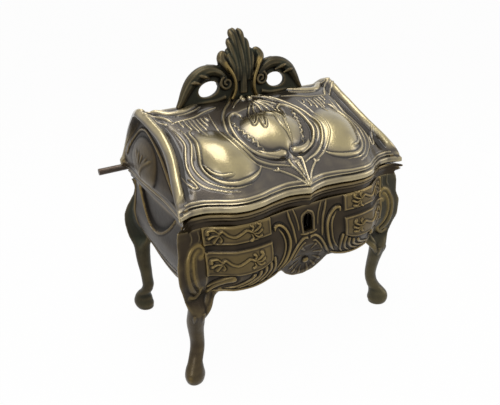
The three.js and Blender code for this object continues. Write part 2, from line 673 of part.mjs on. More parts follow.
function extrudeUp(outline, fromZ, toZ, holes = []) {
  const shape = new THREE.Shape(outline.map(([x, y]) => new THREE.Vector2(x, y)));
  holes.forEach((hole) => shape.holes.push(hole));
  const geometry = new THREE.ExtrudeGeometry(shape, { depth: toZ - fromZ, bevelEnabled: false, curveSegments: 6 });
  return geometry.translate(0, 0, fromZ);
}

function basePlate() {
  const z = plateBottom;
  const cornerX = postInnerX - 2 * jointGap;
  const cornerY = postInnerY - 2 * jointGap;
  const clear = castWall + jointGap;
  const outline = [];
  for (let i = 0; i <= 16; i += 1) {
    const x = -cornerX + (2 * cornerX * i) / 16;
    outline.push([x, Math.max(frontFace(x, z), frontFace(x, z + plateThickness)) + clear + 0.2]);
  }
  outline.push([cornerX, -cornerY]);
  for (let i = 0; i <= 4; i += 1) {
    const y = cornerY * (i / 2 - 1);
    outline.push([sideFace(y, z) - clear, y]);
  }
  outline.push([cornerX, cornerY], [cornerX, backFace(z) - clear], [-cornerX, backFace(z) - clear], [-cornerX, cornerY]);
  for (let i = 0; i <= 4; i += 1) {
    const y = cornerY * (1 - i / 2);
    outline.push([-sideFace(y, z) + clear, y]);
  }
  outline.push([-cornerX, -cornerY]);
  const plate = extrudeUp(outline, z, z + plateThickness);
  const holes = corners().map(([x, y]) => roundAlongZ(baseScrewRadius + screwClearance, z - 1, z + plateThickness + 1, x, y));
  return combine(plate, [], holes);
}

function corners() {
  return [[-1, -1], [1, -1], [-1, 1], [1, 1]].map(([x, y]) => [x * baseScrewX, y * baseScrewY]);
}

// screw with a flat cheese head, its shank along +Z from the head's flat face at the origin
function screw(radius, length) {
  const profile = [[0, -screwHeadHeight], [radius * 1.6, -screwHeadHeight], [radius * 1.8, 0], [radius, 0], [radius, length], [0, length]];
  const geometry = new THREE.LatheGeometry(profile.map(([r, z]) => new THREE.Vector2(r, z)), 8);
  geometry.rotateX(Math.PI / 2);
  return facingOut(mergeVertices(geometry));
}

// Lid

// point of the lid's front at x and any share of the way up to the ridge
function lidFrontAt(x, share, out) {
  const rows = lidRows.filter((row) => row.side < 0);
  const above = Math.max(1, rows.findIndex((row) => row.share >= share && row.share > 0));
  const [low, high] = [rows[above - 1], rows[above]];
  const t = (share - low.share) / (high.share - low.share);
  const row = { side: -1 };
  for (const key of ['share', 'height', 'inset', 'halfWidth']) row[key] = THREE.MathUtils.lerp(low[key], high[key], t);
  return lidPoint(x, row, out);
}

// a cast line on both halves of the lid's front, thickest in its middle
function lidLine(points, radius) {
  const outOfLid = new THREE.Vector3(0, -1, 1).normalize();
  return [-1, 1].map((side) => {
    const path = points.map(([x, share]) => lidFrontAt(side * x, share, 0));
    return bar(path, (t) => radius * (0.7 + 1.2 * t * (1 - t)), 4, outOfLid);
  });
}

function lidDome() {
  const columnCount = lidColumns(60).length - 1;
  const sheet = (offset) => (i, j) => {
    const row = lidRows[j];
    return lidPoint(lidColumns(row.halfWidth)[i], row, offset);
  };
  const base = plateBetween(sheet(0), sheet(-castWall), columnCount, lidRows.length - 1);
  const cut = [hingeBore(), ...knuckleSpans(true).map(knuckleNotch)];
  for (const side of [-1, 1]) cut.push(roundAlongZ(crestScrewRadius + screwClearance, 120, 150, side * crestScrewX, ridgeY));
  const lines = [[LID_FRAME, 1.3], [LID_STEM, 0.9], [LID_LIP, 1.8], [BULGE_RING, 0.9], [RIDGE_LEAF, 1.5]];
  const added = lines.flatMap(([points, radius]) => lidLine(points, radius));
  return combine(base, [...added, ...knuckleSpans(false).map(knuckle)], cut);
}

const lidHalfWidthAt = through(LID_FRONT_ROWS.map(([, height, , halfWidth]) => [height, halfWidth]));

function lidEndX(y, z) {
  const height = (z - lidBottom) / lidScale;
  if (height < 4) return lidSide(y) - (height < 0.5 ? 0.9 : 0);
  const away = ((y - 3) / 40) ** 2 + ((height - 14) / 22) ** 2;
  return lidHalfWidthAt(height) - 2.8 + 3 * Math.max(0, 1 - away);
}

// bowed panel that closes an end of the lid, a gap inside the dome
function lidEnd(side) {
  const heights = [0, 1.4, 3.2, 4.6, 9, 14, 19, 24, 28.6, 32.6];
  const columns = 10;
  const point = (depth) => (i, j) => {
    const z = lidBottom + heights[j] * lidScale;
    const front = lidInnerY(lidEndX(-40, z) - depth, z, -1) + jointGap + 0.1;
    const back = lidInnerY(lidEndX(40, z) - depth, z, 1) - jointGap - 0.1;
    const y = THREE.MathUtils.lerp(front, back, i / columns);
    return new THREE.Vector3(side * (lidEndX(y, z) - depth), y, z);
  };
  return plateBetween(point(0), point(castWall), columns, heights.length - 1);
}

// Crest

const crestLean = (z) => ridgeY - 0.7 + 0.29 * Math.max(0, z - 158);

function leaned(geometry) {
  const position = geometry.getAttribute('position');
  for (let k = 0; k < position.count; k += 1) {
    position.setY(k, position.getY(k) + crestLean(position.getZ(k)));
  }
  return geometry;
}

function uprightEllipse(halfWidth, halfDepth, z) {
  const ring = [];
  for (let k = 0; k < 10; k += 1) {
    const turn = (2 * Math.PI * k) / 10;
    ring.push(new THREE.Vector3(halfWidth * Math.cos(turn), halfDepth * Math.sin(turn), z));
  }
  return ring;
}

function crest() {
  const half = CREST_OUTLINE.map(([x, z]) => new THREE.Vector2(x, z));
  const shape = new THREE.Shape([...half.map((p) => new THREE.Vector2(-p.x, p.y)), ...half.slice(0, -1).reverse(),
    new THREE.Vector2(20, 135), new THREE.Vector2(-20, 135)]);
  for (const side of [-1, 1]) {
    const hole = new THREE.Path();
    hole.absellipse(side * crestHoleX, crestHoleZ, 6.7, 4.5, 0, 2 * Math.PI, false, side * -0.2);
    shape.holes.push(hole);
  }
  const plate = new THREE.ExtrudeGeometry(shape, { depth: crestThickness, bevelEnabled: false, curveSegments: 12 });
  plate.rotateX(Math.PI / 2);
  plate.translate(0, crestThickness / 2, 0);
  const finial = loft([[5, 2.9, 149], [6, 3.3, 157], [7.4, 3.7, 163], [6.4, 3.3, 167], [6.7, 3.4, 171.5], [5.2, 3, 174.5],
    [3.4, 2.3, 177.4], [1.8, 1.5, 180]].map(([width, depth, z]) => uprightEllipse(width, depth, z)));
  const added = [finial];
  for (const side of [-1, 1]) {
    const path = CREST_SCROLL.map(([x, z]) => new THREE.Vector3(side * x, 0, z));
    added.push(bar(path, (t) => 3.1 - 1.2 * t * t, 5, facingFront));
    const eye = new THREE.SphereGeometry(2.9, 7, 4).translate(side * 12.2, 0, 147.4);
    const shoulder = new THREE.SphereGeometry(3.1, 7, 4).translate(side * 11.2, 0, 162.6);
    added.push(eye, shoulder);
  }
  const raised = combine(plate, added, []);
  const underDome = (i, j) => {
    const row = lidRows[8 + j];
    return lidPoint(-48 + 6 * i, row, jointGap);
  };
  const below = (i, j) => underDome(i, j).setZ(lidBottom + 20);
  const dome = plateBetween(underDome, below, 16, 8);
  const screwHoles = [-1, 1].map((side) => roundAlongZ(crestScrewRadius + screwClearance, 130, 148.5, side * crestScrewX, ridgeY));
  return combine(leaned(raised), [], [dome, ...screwHoles]);
}

// Lock

const lockTop = panelTop - jointGap;
const boltTop = lockTop - lockWall - jointGap;
const boltY = (stapleFront + stapleBack) / 2;
const eyeClearance = 0.3;
const boltTip = -stapleWidth / 2 - 2 * boltClearance;
const boltTail = -lockBoxWidth / 2 + lockWall + boltClearance;

function lockCase() {
  const plate = boxBetween([-lockPlateWidth / 2, lockCaseFront, lockBottom], [lockPlateWidth / 2, lockCaseFront + lockWall, lockTop]);
  const box = boxBetween([-lockBoxWidth / 2, lockCaseFront, lockBottom], [lockBoxWidth / 2, lockCaseBack, lockTop]);
  const cavity = boxBetween([-lockBoxWidth / 2 + lockWall, lockCaseFront + lockWall, lockBottom + lockWall],
    [lockBoxWidth / 2 - lockWall, lockCaseBack + 1, lockTop - lockWall]);
  const screwHoles = [-1, 1].map((side) => roundAlongY(lockScrewRadius + screwClearance, lockCaseFront - 1,
    lockCaseFront + lockWall + 1, side * lockScrewX, lockScrewZ, 8));
  return combine(plate, [box], [cavity, keyholePrism(lockCaseFront - 1, lockCaseFront + lockWall + 0.5), stapleSlot(lockTop - 2, lockTop + 1),
    ...screwHoles]);
}

// plate that closes the lock's back, with the post that a pipe key turns on
function lockCover() {
  const front = lockCaseBack + jointGap;
  const plate = boxBetween([-lockBoxWidth / 2, front, lockBottom], [lockBoxWidth / 2, front + lockCoverThickness, lockTop]);
  const post = roundAlongY(0.9, lockCaseFront + 1.4, front + 0.4, 0, keyholeBottom + keyholeHeight - keyholeWidth / 2);
  return combine(plate, [post], []);
}

// sliding bolt with a notch that the key's bit moves it by
function lockBolt() {
  const top = boltTop;
  const low = top - boltHeight;
  const notch = top - boltHeight / 2;
  const at = (share) => boltTail + share * (boltTip - boltTail);
  const outline = [[at(0), top], [at(0), low], [at(0.2), low], [at(0.2), notch], [at(0.48), notch], [at(0.48), low], [at(1), low], [at(1), top]];
  const shape = new THREE.Shape(outline.map(([x, z]) => new THREE.Vector2(x, z)));
  const geometry = new THREE.ExtrudeGeometry(shape, { depth: boltThickness, bevelEnabled: false });
  geometry.rotateX(Math.PI / 2);
  return geometry.translate(0, boltY + boltThickness / 2, 0);
}

// staple on the lid: a foot against the lid's front wall and an eye that the bolt shoots through
function lockStaple() {
  const eyeTop = boltTop + eyeClearance - 0.1;
  const eyeBottom = boltTop - boltHeight - eyeClearance;
  const half = stapleWidth / 2;
  const stem = boxBetween([-half, stapleFront, eyeBottom - 1], [half, stapleBack, lidBottom + 1.2]);
  const foot = boxBetween([-6, lidFront(6) + castWall + 1.6, lidBottom + 0.2], [6, stapleBack, lidBottom + 1.6]);
  const eyeHalf = boltThickness / 2 + eyeClearance;
  const eye = boxBetween([-half - 1, boltY - eyeHalf, eyeBottom], [half + 1, boltY + eyeHalf, eyeTop]);
  return combine(foot, [stem], [eye]);
}

// Velvet lining

const padBottom = lugZ + lugHeight + jointGap;
const floorPadZ = plateBottom + plateThickness + jointGap;

function floorPad() {
  const cornerX = lugX - lugWidth - jointGap;
  const cornerY = lugY - lugDepth - jointGap;
  const outer = [postInnerX - 1.4, postInnerY - 0.8];
  const outline = [[-cornerX, -outer[1]], [cornerX, -outer[1]], [cornerX, -cornerY], [outer[0], -cornerY], [outer[0], cornerY], [cornerX, cornerY],
    [cornerX, outer[1]], [-cornerX, outer[1]], [-cornerX, cornerY], [-outer[0], cornerY], [-outer[0], -cornerY], [-cornerX, -cornerY]];
  return extrudeUp(outline, floorPadZ, floorPadZ + floorPadThickness);
}

function wallPad(x0, y0, x1, y1) {
  return boxBetween([x0, y0, padBottom], [x1, y1, panelTop - jointGap]);
}

const frontPadBack = Math.max(lockCaseBack + 2 * jointGap + lockCoverThickness, frontFace(panelEndX, padBottom) + castWall + jointGap)
  + liningThickness;
const backPadBack = Math.min(backFace(padBottom), backFace(panelTop)) - castWall - jointGap;
const sidePadX = postInnerX + jointGap;

function lidLining() {
  const rows = lidRows.filter((row, j) => j >= 4 && j < 18 && j % 2 === 0);
  const columns = 8;
  const depth = castWall + jointGap + 0.4;
  const sheet = (extra) => (i, j) => lidPoint(-54 + (108 * i) / columns, rows[j], -depth - extra);
  const pad = plateBetween(sheet(0), sheet(liningThickness), columns, rows.length - 1);
  const screwHoles = [-1, 1].map((side) => roundAlongZ(crestScrewRadius * 1.8 + 0.5, 120, 150, side * crestScrewX, ridgeY, 8));
  return combine(pad, [], screwHoles);
}

// Finishes

const finishes = {
  patinated_brass: { color: 0x6b604a, roughness: 0.38, metalness: 0.9 },
  steel: { color: 0x8a8d90, roughness: 0.4, metalness: 0.9 },
  iron_rod: { color: 0x4a4440, roughness: 0.55, metalness: 0.8 },
  velvet: { color: 0x5a1a24, roughness: 0.95, metalness: 0 },
};

function piece(name, geometry, finish) {
  const mesh = new THREE.Mesh(geometry, new THREE.MeshStandardMaterial(finishes[finish]));
  mesh.name = name;
  return mesh;
}

// Assembly

const body = new THREE.Group();
body.add(piece('front_panel', frontPanel(), 'patinated_brass'));
body.add(piece('back_panel', backPanel(), 'patinated_brass'));
body.add(piece('side_panel_left', sidePanel(-1), 'patinated_brass'));
body.add(piece('side_panel_right', sidePanel(1), 'patinated_brass'));
body.add(piece('leg_front_left', leg(-1, LEG_TIP_FRONT, false), 'patinated_brass'));
body.add(piece('leg_front_right', leg(1, LEG_TIP_FRONT, false), 'patinated_brass'));
body.add(piece('leg_back_left', leg(-1, LEG_TIP_BACK, true), 'patinated_brass'));
body.add(piece('leg_back_right', leg(1, LEG_TIP_BACK, true), 'patinated_brass'));
body.add(piece('rim_frame', rimFrame(), 'patinated_brass'));
body.add(piece('base_plate', basePlate(), 'patinated_brass'));

['front_left', 'front_right', 'back_left', 'back_right'].forEach((place, k) => {
  const baseScrew = piece(`base_screw_${place}`, screw(baseScrewRadius, plateThickness + lugHeight - 0.6), 'steel');
  const [x, y] = corners()[k];
  baseScrew.position.set(x, y, plateBottom - jointGap);
  body.add(baseScrew);
});

body.add(piece('lock_case', lockCase(), 'steel'));
body.add(piece('lock_cover', lockCover(), 'steel'));
body.add(piece('lock_bolt', lockBolt(), 'steel'));
for (const [place, side] of [['left', -1], ['right', 1]]) {
  const lockScrew = piece(`lock_screw_${place}`, screw(lockScrewRadius, lockWall + jointGap + 1.8), 'steel');
  lockScrew.position.set(side * lockScrewX, lockCaseFront + lockWall + jointGap, lockScrewZ);
  lockScrew.rotation.x = Math.PI / 2;
  body.add(lockScrew);
}

body.add(piece('hinge_pin', rodAlongX(pinRadius, pinLeftEnd, pinLeftEnd + pinLength, hingeY, hingeZ), 'iron_rod'));

body.add(piece('floor_pad', floorPad(), 'velvet'));
body.add(piece('wall_pad_front', wallPad(-panelEndX, frontPadBack - liningThickness, panelEndX, frontPadBack), 'velvet'));
body.add(piece('wall_pad_back', wallPad(-panelEndX, backPadBack - liningThickness, panelEndX, backPadBack), 'velvet'));
body.add(piece('wall_pad_left', wallPad(-sidePadX - liningThickness, -panelEndY, -sidePadX, panelEndY - 2.5), 'velvet'));
body.add(piece('wall_pad_right', wallPad(sidePadX, -panelEndY, sidePadX + liningThickness, panelEndY - 2.5), 'velvet'));

const lid = new THREE.Group();
lid.add(piece('lid_dome', lidDome(), 'patinated_brass'));
lid.add(piece('lid_end_left', lidEnd(-1), 'patinated_brass'));
lid.add(piece('lid_end_right', lidEnd(1), 'patinated_brass'));
lid.add(piece('crest', crest(), 'patinated_brass'));
lid.add(piece('lock_staple', lockStaple(), 'steel'));
lid.add(piece('lid_lining', lidLining(), 'velvet'));
const domeUnderside = lidBottom + lidRise - castWall;
for (const [place, side] of [['left', -1], ['right', 1]]) {
  const crestScrew = piece(`crest_screw_${place}`, screw(crestScrewRadius, castWall + 7), 'steel');
  crestScrew.position.set(side * crestScrewX, ridgeY, domeUnderside - 3 * jointGap);
  lid.add(crestScrew);
}

const casket = new THREE.Group();
casket.add(body, lid);

// the pin stands out on the left, so the casket is moved until its box is centred on the origin
casket.updateMatrixWorld(true);
const bounds = new THREE.Box3().setFromObject(casket);
casket.position.set(-(bounds.min.x + bounds.max.x) / 2, -(bounds.min.y + bounds.max.y) / 2, -bounds.min.z);

export default casket;
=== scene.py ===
"""Jewellery casket of cast brass, shaped like a small rococo commode, dressed for the render.

Lengths in this file are millimetres in the casket's own frame: x = 0 is the middle of the front, y = 0 lies
midway between the feet and z = 0 is the table. metres() turns them into the model's metres, places() turns
them back.
"""
import json
import math

import bpy
import numpy as np
from mathutils import Matrix, Vector


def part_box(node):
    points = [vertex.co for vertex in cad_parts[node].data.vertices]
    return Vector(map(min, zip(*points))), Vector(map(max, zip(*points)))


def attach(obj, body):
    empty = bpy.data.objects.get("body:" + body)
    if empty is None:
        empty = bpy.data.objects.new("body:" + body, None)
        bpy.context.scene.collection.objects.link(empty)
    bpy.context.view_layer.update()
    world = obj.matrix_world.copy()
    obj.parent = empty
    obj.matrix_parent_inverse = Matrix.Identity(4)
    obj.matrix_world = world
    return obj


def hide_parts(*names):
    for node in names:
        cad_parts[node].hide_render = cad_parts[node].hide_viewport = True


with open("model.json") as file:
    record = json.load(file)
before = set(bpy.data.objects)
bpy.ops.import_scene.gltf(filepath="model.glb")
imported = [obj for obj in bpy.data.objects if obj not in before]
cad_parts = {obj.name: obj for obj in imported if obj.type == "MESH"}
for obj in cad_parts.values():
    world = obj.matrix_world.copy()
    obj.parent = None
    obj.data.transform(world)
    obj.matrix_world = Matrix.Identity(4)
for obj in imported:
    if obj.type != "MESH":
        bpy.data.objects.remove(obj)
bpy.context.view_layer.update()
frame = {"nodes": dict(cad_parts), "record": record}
bpy.ops.object.select_all(action="DESELECT")

dome_low, dome_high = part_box("lid_dome")
LID_TIP_Y = -55.0
FRAME_SHIFT = np.array([(dome_low.x + dome_high.x) * 500, dome_low.y * 1000 - LID_TIP_Y, 0.0])


def metres(points):
    return (np.asarray(points, float) + FRAME_SHIFT) / 1000


# ---------------------------------------------------------------- camera, floor, light

CAMERA_TURN, CAMERA_RISE, CAMERA_ROLL = (math.radians(angle) for angle in (-29.39, 25.29, -2.14))
CAMERA_AIM = (-5.61, 0.36, 77.91)
CAMERA_DISTANCE = 313.16
SENSOR_WIDTH, FOCAL_LENGTH = 36.0, 36.71
WHITE = (1, 1, 1, 1)


def put(name, data):
    """A new object in the scene"""
    made = bpy.data.objects.new(name, data)
    bpy.context.scene.collection.objects.link(made)
    return made


def place_camera():
    level = math.cos(CAMERA_RISE)
    back = Vector((math.sin(CAMERA_TURN) * level, -math.cos(CAMERA_TURN) * level, math.sin(CAMERA_RISE)))
    right = (-back).cross(Vector((0, 0, 1))).normalized()
    up = right.cross(-back)
    rolled_right = right * math.cos(CAMERA_ROLL) + up * math.sin(CAMERA_ROLL)
    rolled_up = up * math.cos(CAMERA_ROLL) - right * math.sin(CAMERA_ROLL)
    data = bpy.data.cameras.new("Camera")
    camera = put("Camera", data)
    stand = Vector(metres(CAMERA_AIM)) + back * (CAMERA_DISTANCE / 1000)
    camera.matrix_world = Matrix.Translation(stand) @ Matrix((rolled_right, rolled_up, back)).transposed().to_4x4()
    data.sensor_width = SENSOR_WIDTH
    data.lens = FOCAL_LENGTH
    data.clip_start = 0.01
    bpy.context.scene.camera = camera


def area_light(name, place, aim_height, size, power, colour):
    """A soft lamp that looks at the casket's middle; place, height and size in metres"""
    data = bpy.data.lights.new(name, "AREA")
    data.shape = "ELLIPSE"
    data.size, data.size_y = size
    data.energy = power
    data.color = colour
    lamp = put(name, data)
    lamp.location = place
    lamp.rotation_euler = (Vector((0, 0, aim_height)) - Vector(place)).to_track_quat("-Z", "Y").to_euler()


def linear(code):
    """sRGB hex colour as the linear values that a shader takes"""
    parts = [int(code[k:k + 2], 16) / 255 for k in (1, 3, 5)]
    return tuple(c / 12.92 if c <= 0.04045 else ((c + 0.055) / 1.055) ** 2.4 for c in parts) + (1.0,)


def blank_tree(owner):
    """Empty node tree of a new material or world"""
    owner.use_nodes = True
    owner.node_tree.nodes.clear()
    return owner.node_tree


def add(tree, kind, inputs=None, **settings):
    """Adds a node with its settings; inputs are sockets or plain values, by socket name or number"""
    node = tree.nodes.new(kind)
    for key, value in settings.items():
        setattr(node, key, value)
    for key, value in (inputs or {}).items():
        if isinstance(value, bpy.types.NodeSocket):
            tree.links.new(value, node.inputs[key])
        else:
            node.inputs[key].default_value = value
    return node


def maths(tree, operation, first, second, **settings):
    return add(tree, "ShaderNodeMath", {0: first, 1: second}, operation=operation, **settings).outputs[0]


def seen_directly(tree):
    """1 for what the camera sees itself, in the metal or through glass, and 0 for light that falls on things"""
    path = add(tree, "ShaderNodeLightPath").outputs
    mirrored = maths(tree, "MAXIMUM", path["Is Camera Ray"], path["Is Glossy Ray"])
    return maths(tree, "MAXIMUM", mirrored, path["Is Transmission Ray"])


def mix_and_show(tree, share, first, second, output):
    """Leads two shaders, mixed by a share, to the material's or world's output"""
    mixed = add(tree, "ShaderNodeMixShader", {"Fac": share, 1: first.outputs[0], 2: second.outputs[0]})
    add(tree, output, {"Surface": mixed.outputs[0]})


def stage_material(name, code):
    """Paper that lights things as paper does, and shows white with a faint shadow where it is looked at"""
    material = bpy.data.materials.new(name)
    tree = blank_tree(material)
    surface = add(tree, "ShaderNodeBsdfDiffuse", {"Color": linear(code)})
    white = add(tree, "ShaderNodeEmission", {"Color": WHITE, "Strength": 1.0})
    fade = maths(tree, "MULTIPLY", seen_directly(tree), 0.97)
    mix_and_show(tree, fade, surface, white, "ShaderNodeOutputMaterial")
    return material


def build_stage():
    bpy.ops.mesh.primitive_plane_add(size=40, location=(0, 0, 0))
    floor = bpy.context.object
    floor.name = "Floor"
    floor.data.materials.append(stage_material("White paper floor", "#fbfaf8"))
    world = bpy.data.worlds.new("Studio")
    bpy.context.scene.world = world
    tree = blank_tree(world)
    room = add(tree, "ShaderNodeBackground", {"Color": (0.80, 0.79, 0.77, 1), "Strength": 0.42})
    white = add(tree, "ShaderNodeBackground", {"Color": WHITE, "Strength": 1.0})
    mix_and_show(tree, seen_directly(tree), room, white, "ShaderNodeOutputWorld")
    area_light("Overhead softbox", (-0.05, 0.02, 0.62), 0.1, (0.48, 0.34), 1.7, (1.0, 0.985, 0.96))
    area_light("Left window", (-0.62, -0.42, 0.42), 0.08, (0.34, 0.48), 1.6, (0.95, 0.98, 1.0))
    area_light("Right fill", (0.6, -0.35, 0.3), 0.08, (0.45, 0.45), 0.9, (1.0, 0.97, 0.92))


# ---------------------------------------------------------------- curves and sheets


def through(points):
    """Smooth curve through points without overshoot, as the part's source draws its outlines"""
    xs, ys = np.array(points, float).T
    steps = np.diff(ys) / np.diff(xs)
    slopes = np.concatenate([steps[:1], np.zeros(len(xs) - 2), steps[-1:]])
    for k in range(1, len(xs) - 1):
        if steps[k - 1] * steps[k] > 0:
            slopes[k] = 2 / (1 / steps[k - 1] + 1 / steps[k])

    def value(at):
        at = np.clip(np.asarray(at, float), xs[0], xs[-1])
        k = np.clip(np.searchsorted(xs, at, side="right") - 1, 0, len(xs) - 2)
        width = xs[k + 1] - xs[k]
        t = (at - xs[k]) / width
        return (ys[k] + (ys[k + 1] - ys[k]) * (3 - 2 * t) * t * t + t * (1 - t) ** 2 * width * slopes[k]
                + t * t * (t - 1) * width * slopes[k + 1])

    return value


LINE_STEPS = 5  # steps between two points of a bar


def flowing(points, steps=7):
    """Rows of numbers drawn out to a smooth line through all of them"""
    p = np.array(points, float)
    ends = np.vstack([2 * p[0] - p[1], p, 2 * p[-1] - p[-2]])
    rows = []
    for a, b, c, d in zip(ends, ends[1:], ends[2:], ends[3:]):
        for t in np.arange(steps) / steps:
            rows.append(0.5 * (2 * b + (c - a) * t + (2 * a - 5 * b + 4 * c - d) * t * t
                               + (3 * b - a - 3 * c + d) * t ** 3))
    return np.array(rows + [p[-1]])


# in half widths of a ridge: how far it is followed, what counts as out of reach, and the groove beside it
FAR, UNREACHED, GROOVE_AT, GROOVE_WIDTH = 2.6, 9.0, 1.5, 0.45


class Relief:
    """Ornament over a sheet whose points have two coordinates in millimetres: its height, and how bright
    the brass is rubbed there"""

    def __init__(self, across, along):
        self.across, self.along = across.ravel(), along.ravel()
        self.shape = across.shape
        self.swell, self.raised, self.sunk, self.polish = (np.zeros(across.size) for _ in range(4))

    def stroke(self, points, width, height, shine=0.6, groove=0.35, tips=(0.35, 0.35)):
        """A ridge along a line. width is half its breadth; a third number of a point scales it there"""
        rows = [tuple(p) + (1.0,) * (3 - len(p)) for p in points]
        line = flowing(rows)
        share = np.linspace(0, 1, len(line))
        taper = np.minimum(1, np.minimum(tips[0] + share * 5, tips[1] + (1 - share) * 5))
        reach = width * line[:, 2] * taper
        far = reach.max() * FAR
        near = np.flatnonzero((self.across > line[:, 0].min() - far) & (self.across < line[:, 0].max() + far)
                              & (self.along > line[:, 1].min() - far) & (self.along < line[:, 1].max() + far))
        if not len(near):
            return
        x, y = self.across[near], self.along[near]
        closest = np.full(len(near), UNREACHED)
        size = np.ones(len(near))
        for (x0, y0, _), (x1, y1, _), r0, r1 in zip(line, line[1:], reach, reach[1:]):
            length = max((x1 - x0) ** 2 + (y1 - y0) ** 2, 1e-9)
            t = np.clip(((x - x0) * (x1 - x0) + (y - y0) * (y1 - y0)) / length, 0, 1)
            radius = np.maximum(r0 + (r1 - r0) * t, 0.05)
            ratio = np.hypot(x - x0 - t * (x1 - x0), y - y0 - t * (y1 - y0)) / radius
            better = ratio < closest
            closest[better] = ratio[better]
            size[better] = (radius / width)[better]
        profile = np.clip(1 - closest ** 2, 0, 1) ** 0.75
        rise = height * np.minimum(size, 1.2) ** 0.7
        self.raised[near] = np.maximum(self.raised[near], rise * profile)
        beside = np.exp(-((closest - GROOVE_AT) / GROOVE_WIDTH) ** 2)
        self.sunk[near] = np.maximum(self.sunk[near], 0.6 * groove * rise * beside)
        self.polish[near] = np.maximum(self.polish[near], shine * profile)

    def boss(self, centre, radii, height, shine=0.6, turn=0.0, power=0.5):
        """A smooth dome, or with a negative height a hollow"""
        x, y = self.across - centre[0], self.along - centre[1]
        c, s = math.cos(turn), math.sin(turn)
        away = ((x * c + y * s) / radii[0]) ** 2 + ((y * c - x * s) / radii[1]) ** 2
        profile = np.clip(1 - away, 0, 1)
        self.swell += height * profile ** power
        self.polish = np.maximum(self.polish, shine * np.clip(profile * 1.8, 0, 1))

    def height(self):
        clear = np.clip(1 - self.raised / 0.35, 0, 1)
        return (self.swell + self.raised - self.sunk * clear).reshape(self.shape)


def ease(t):
    """0 to 1 without a crease at either end"""
    t = np.clip(t, 0, 1)
    return t * t * (3 - 2 * t)


def mix(a, b, t):
    return a + (b - a) * t


def vectors(items, key="co"):
    """Places or normals of a mesh's points, a row each, as Blender holds them"""
    flat = np.empty(len(items) * 3)
    items.foreach_get(key, flat)
    return flat.reshape(-1, 3)


def places(piece):
    """Points of a piece in millimetres of the casket's own frame"""
    return vectors(piece.data.vertices) * 1000 - FRAME_SHIFT


def set_points(piece, place):
    """Moves a piece's points to places in metres"""
    piece.data.vertices.foreach_set("co", place.ravel())
    piece.data.update()


def store(piece, name, values):
    """Keeps a number for each point of a piece, which a material can read by name"""
    layer = piece.data.attributes.get(name) or piece.data.attributes.new(name, "FLOAT", "POINT")
    layer.data.foreach_set("value", np.asarray(values, np.float32).ravel())


def scale_store(piece, name, factor):
    values = np.empty(len(piece.data.vertices), np.float32)
    piece.data.attributes[name].data.foreach_get("value", values)
    store(piece, name, values * factor)


def grid_sheet(name, points, polish=None):
    """A grid primitive whose points are laid on a sheet, which gives a place for each row and column"""
    rows, columns = points.shape[0] - 1, points.shape[1] - 1
    bpy.ops.mesh.primitive_grid_add(x_subdivisions=columns, y_subdivisions=rows, size=2)
    piece = bpy.context.object
    piece.name = piece.data.name = name
    flat = vectors(piece.data.vertices)
    i = np.rint((flat[:, 0] + 1) / 2 * columns).astype(int)
    j = np.rint((flat[:, 1] + 1) / 2 * rows).astype(int)
    if polish is not None:
        store(piece, "polish", np.ravel(polish)[j * (columns + 1) + i])
    set_points(piece, metres(points[j, i]))
    return piece


def normals_of(sheet):
    """Unit normals of a sheet of points, to the right hand of rows and columns"""
    normal = np.cross(np.gradient(sheet, axis=1), np.gradient(sheet, axis=0))
    return normal / np.maximum(np.linalg.norm(normal, axis=2, keepdims=True), 1e-9)


def pick(piece):
    """Leaves one piece selected, and active"""
    bpy.ops.object.select_all(action="DESELECT")
    bpy.context.view_layer.objects.active = piece
    piece.select_set(True)


def apply(piece, kind, **settings):
    pick(piece)
    modifier = piece.modifiers.new(kind, kind)
    for key, value in settings.items():
        setattr(modifier, key, value)
    bpy.ops.object.modifier_apply(modifier=modifier.name)


WELD = (bpy.ops.mesh.remove_doubles, {"threshold": 1e-6})
FACE_OUT = (bpy.ops.mesh.normals_make_consistent, {"inside": False})
TURN_OVER = (bpy.ops.mesh.flip_normals, {})


def edit(piece, *steps):
    """Runs edit mode operators on the whole of a piece"""
    pick(piece)
    bpy.ops.object.mode_set(mode="EDIT")
    bpy.ops.mesh.select_all(action="SELECT")
    for operator, settings in steps:
        operator(**settings)
    bpy.ops.object.mode_set(mode="OBJECT")


def join(name, pieces):
    pick(pieces[0])
    for piece in pieces:
        piece.select_set(True)
    if len(pieces) > 1:
        bpy.ops.object.join()
    joined = bpy.context.view_layer.objects.active
    joined.name = joined.data.name = name
    return joined


def settle():
    """The piece just added, with its place and turn taken into its points"""
    bpy.ops.object.transform_apply(location=True, rotation=True, scale=True)
    return bpy.context.object


def block(low, high):
    bpy.ops.mesh.primitive_cube_add(size=1, location=metres([(a + b) / 2 for a, b in zip(low, high)]))
    bpy.context.object.scale = [(b - a) / 1000 for a, b in zip(low, high)]
    return settle()


def drum(radius, start, end, centre, axis="X", ends="NGON"):
    middle = list(centre)
    middle["XY".index(axis)] = (start + end) / 2
    bpy.ops.mesh.primitive_cylinder_add(
        vertices=40, radius=radius / 1000, depth=(end - start) / 1000, end_fill_type=ends, location=metres(middle),
        rotation={"X": (0, math.pi / 2, 0), "Y": (math.pi / 2, 0, 0)}[axis])
    return settle()


def cut_away(piece, cutters):
    for cutter in cutters:
        apply(piece, "BOOLEAN", operation="DIFFERENCE", solver="MANIFOLD", object=cutter)
        bpy.data.objects.remove(cutter)


def draw_line(data, points, closed=False):
    """Adds a straight-edged line to a curve; points in metres"""
    line = data.splines.new("POLY")
    line.points.add(len(points) - 1)
    line.use_cyclic_u = closed
    for point, place in zip(line.points, points):
        point.co = (*place, 1)
    return line


def curve_mesh(data):
    """A curve made a mesh"""
    pick(put(data.name, data))
    bpy.ops.object.convert(target="MESH")
    return bpy.context.object


THINNEST_BAR = 0.15


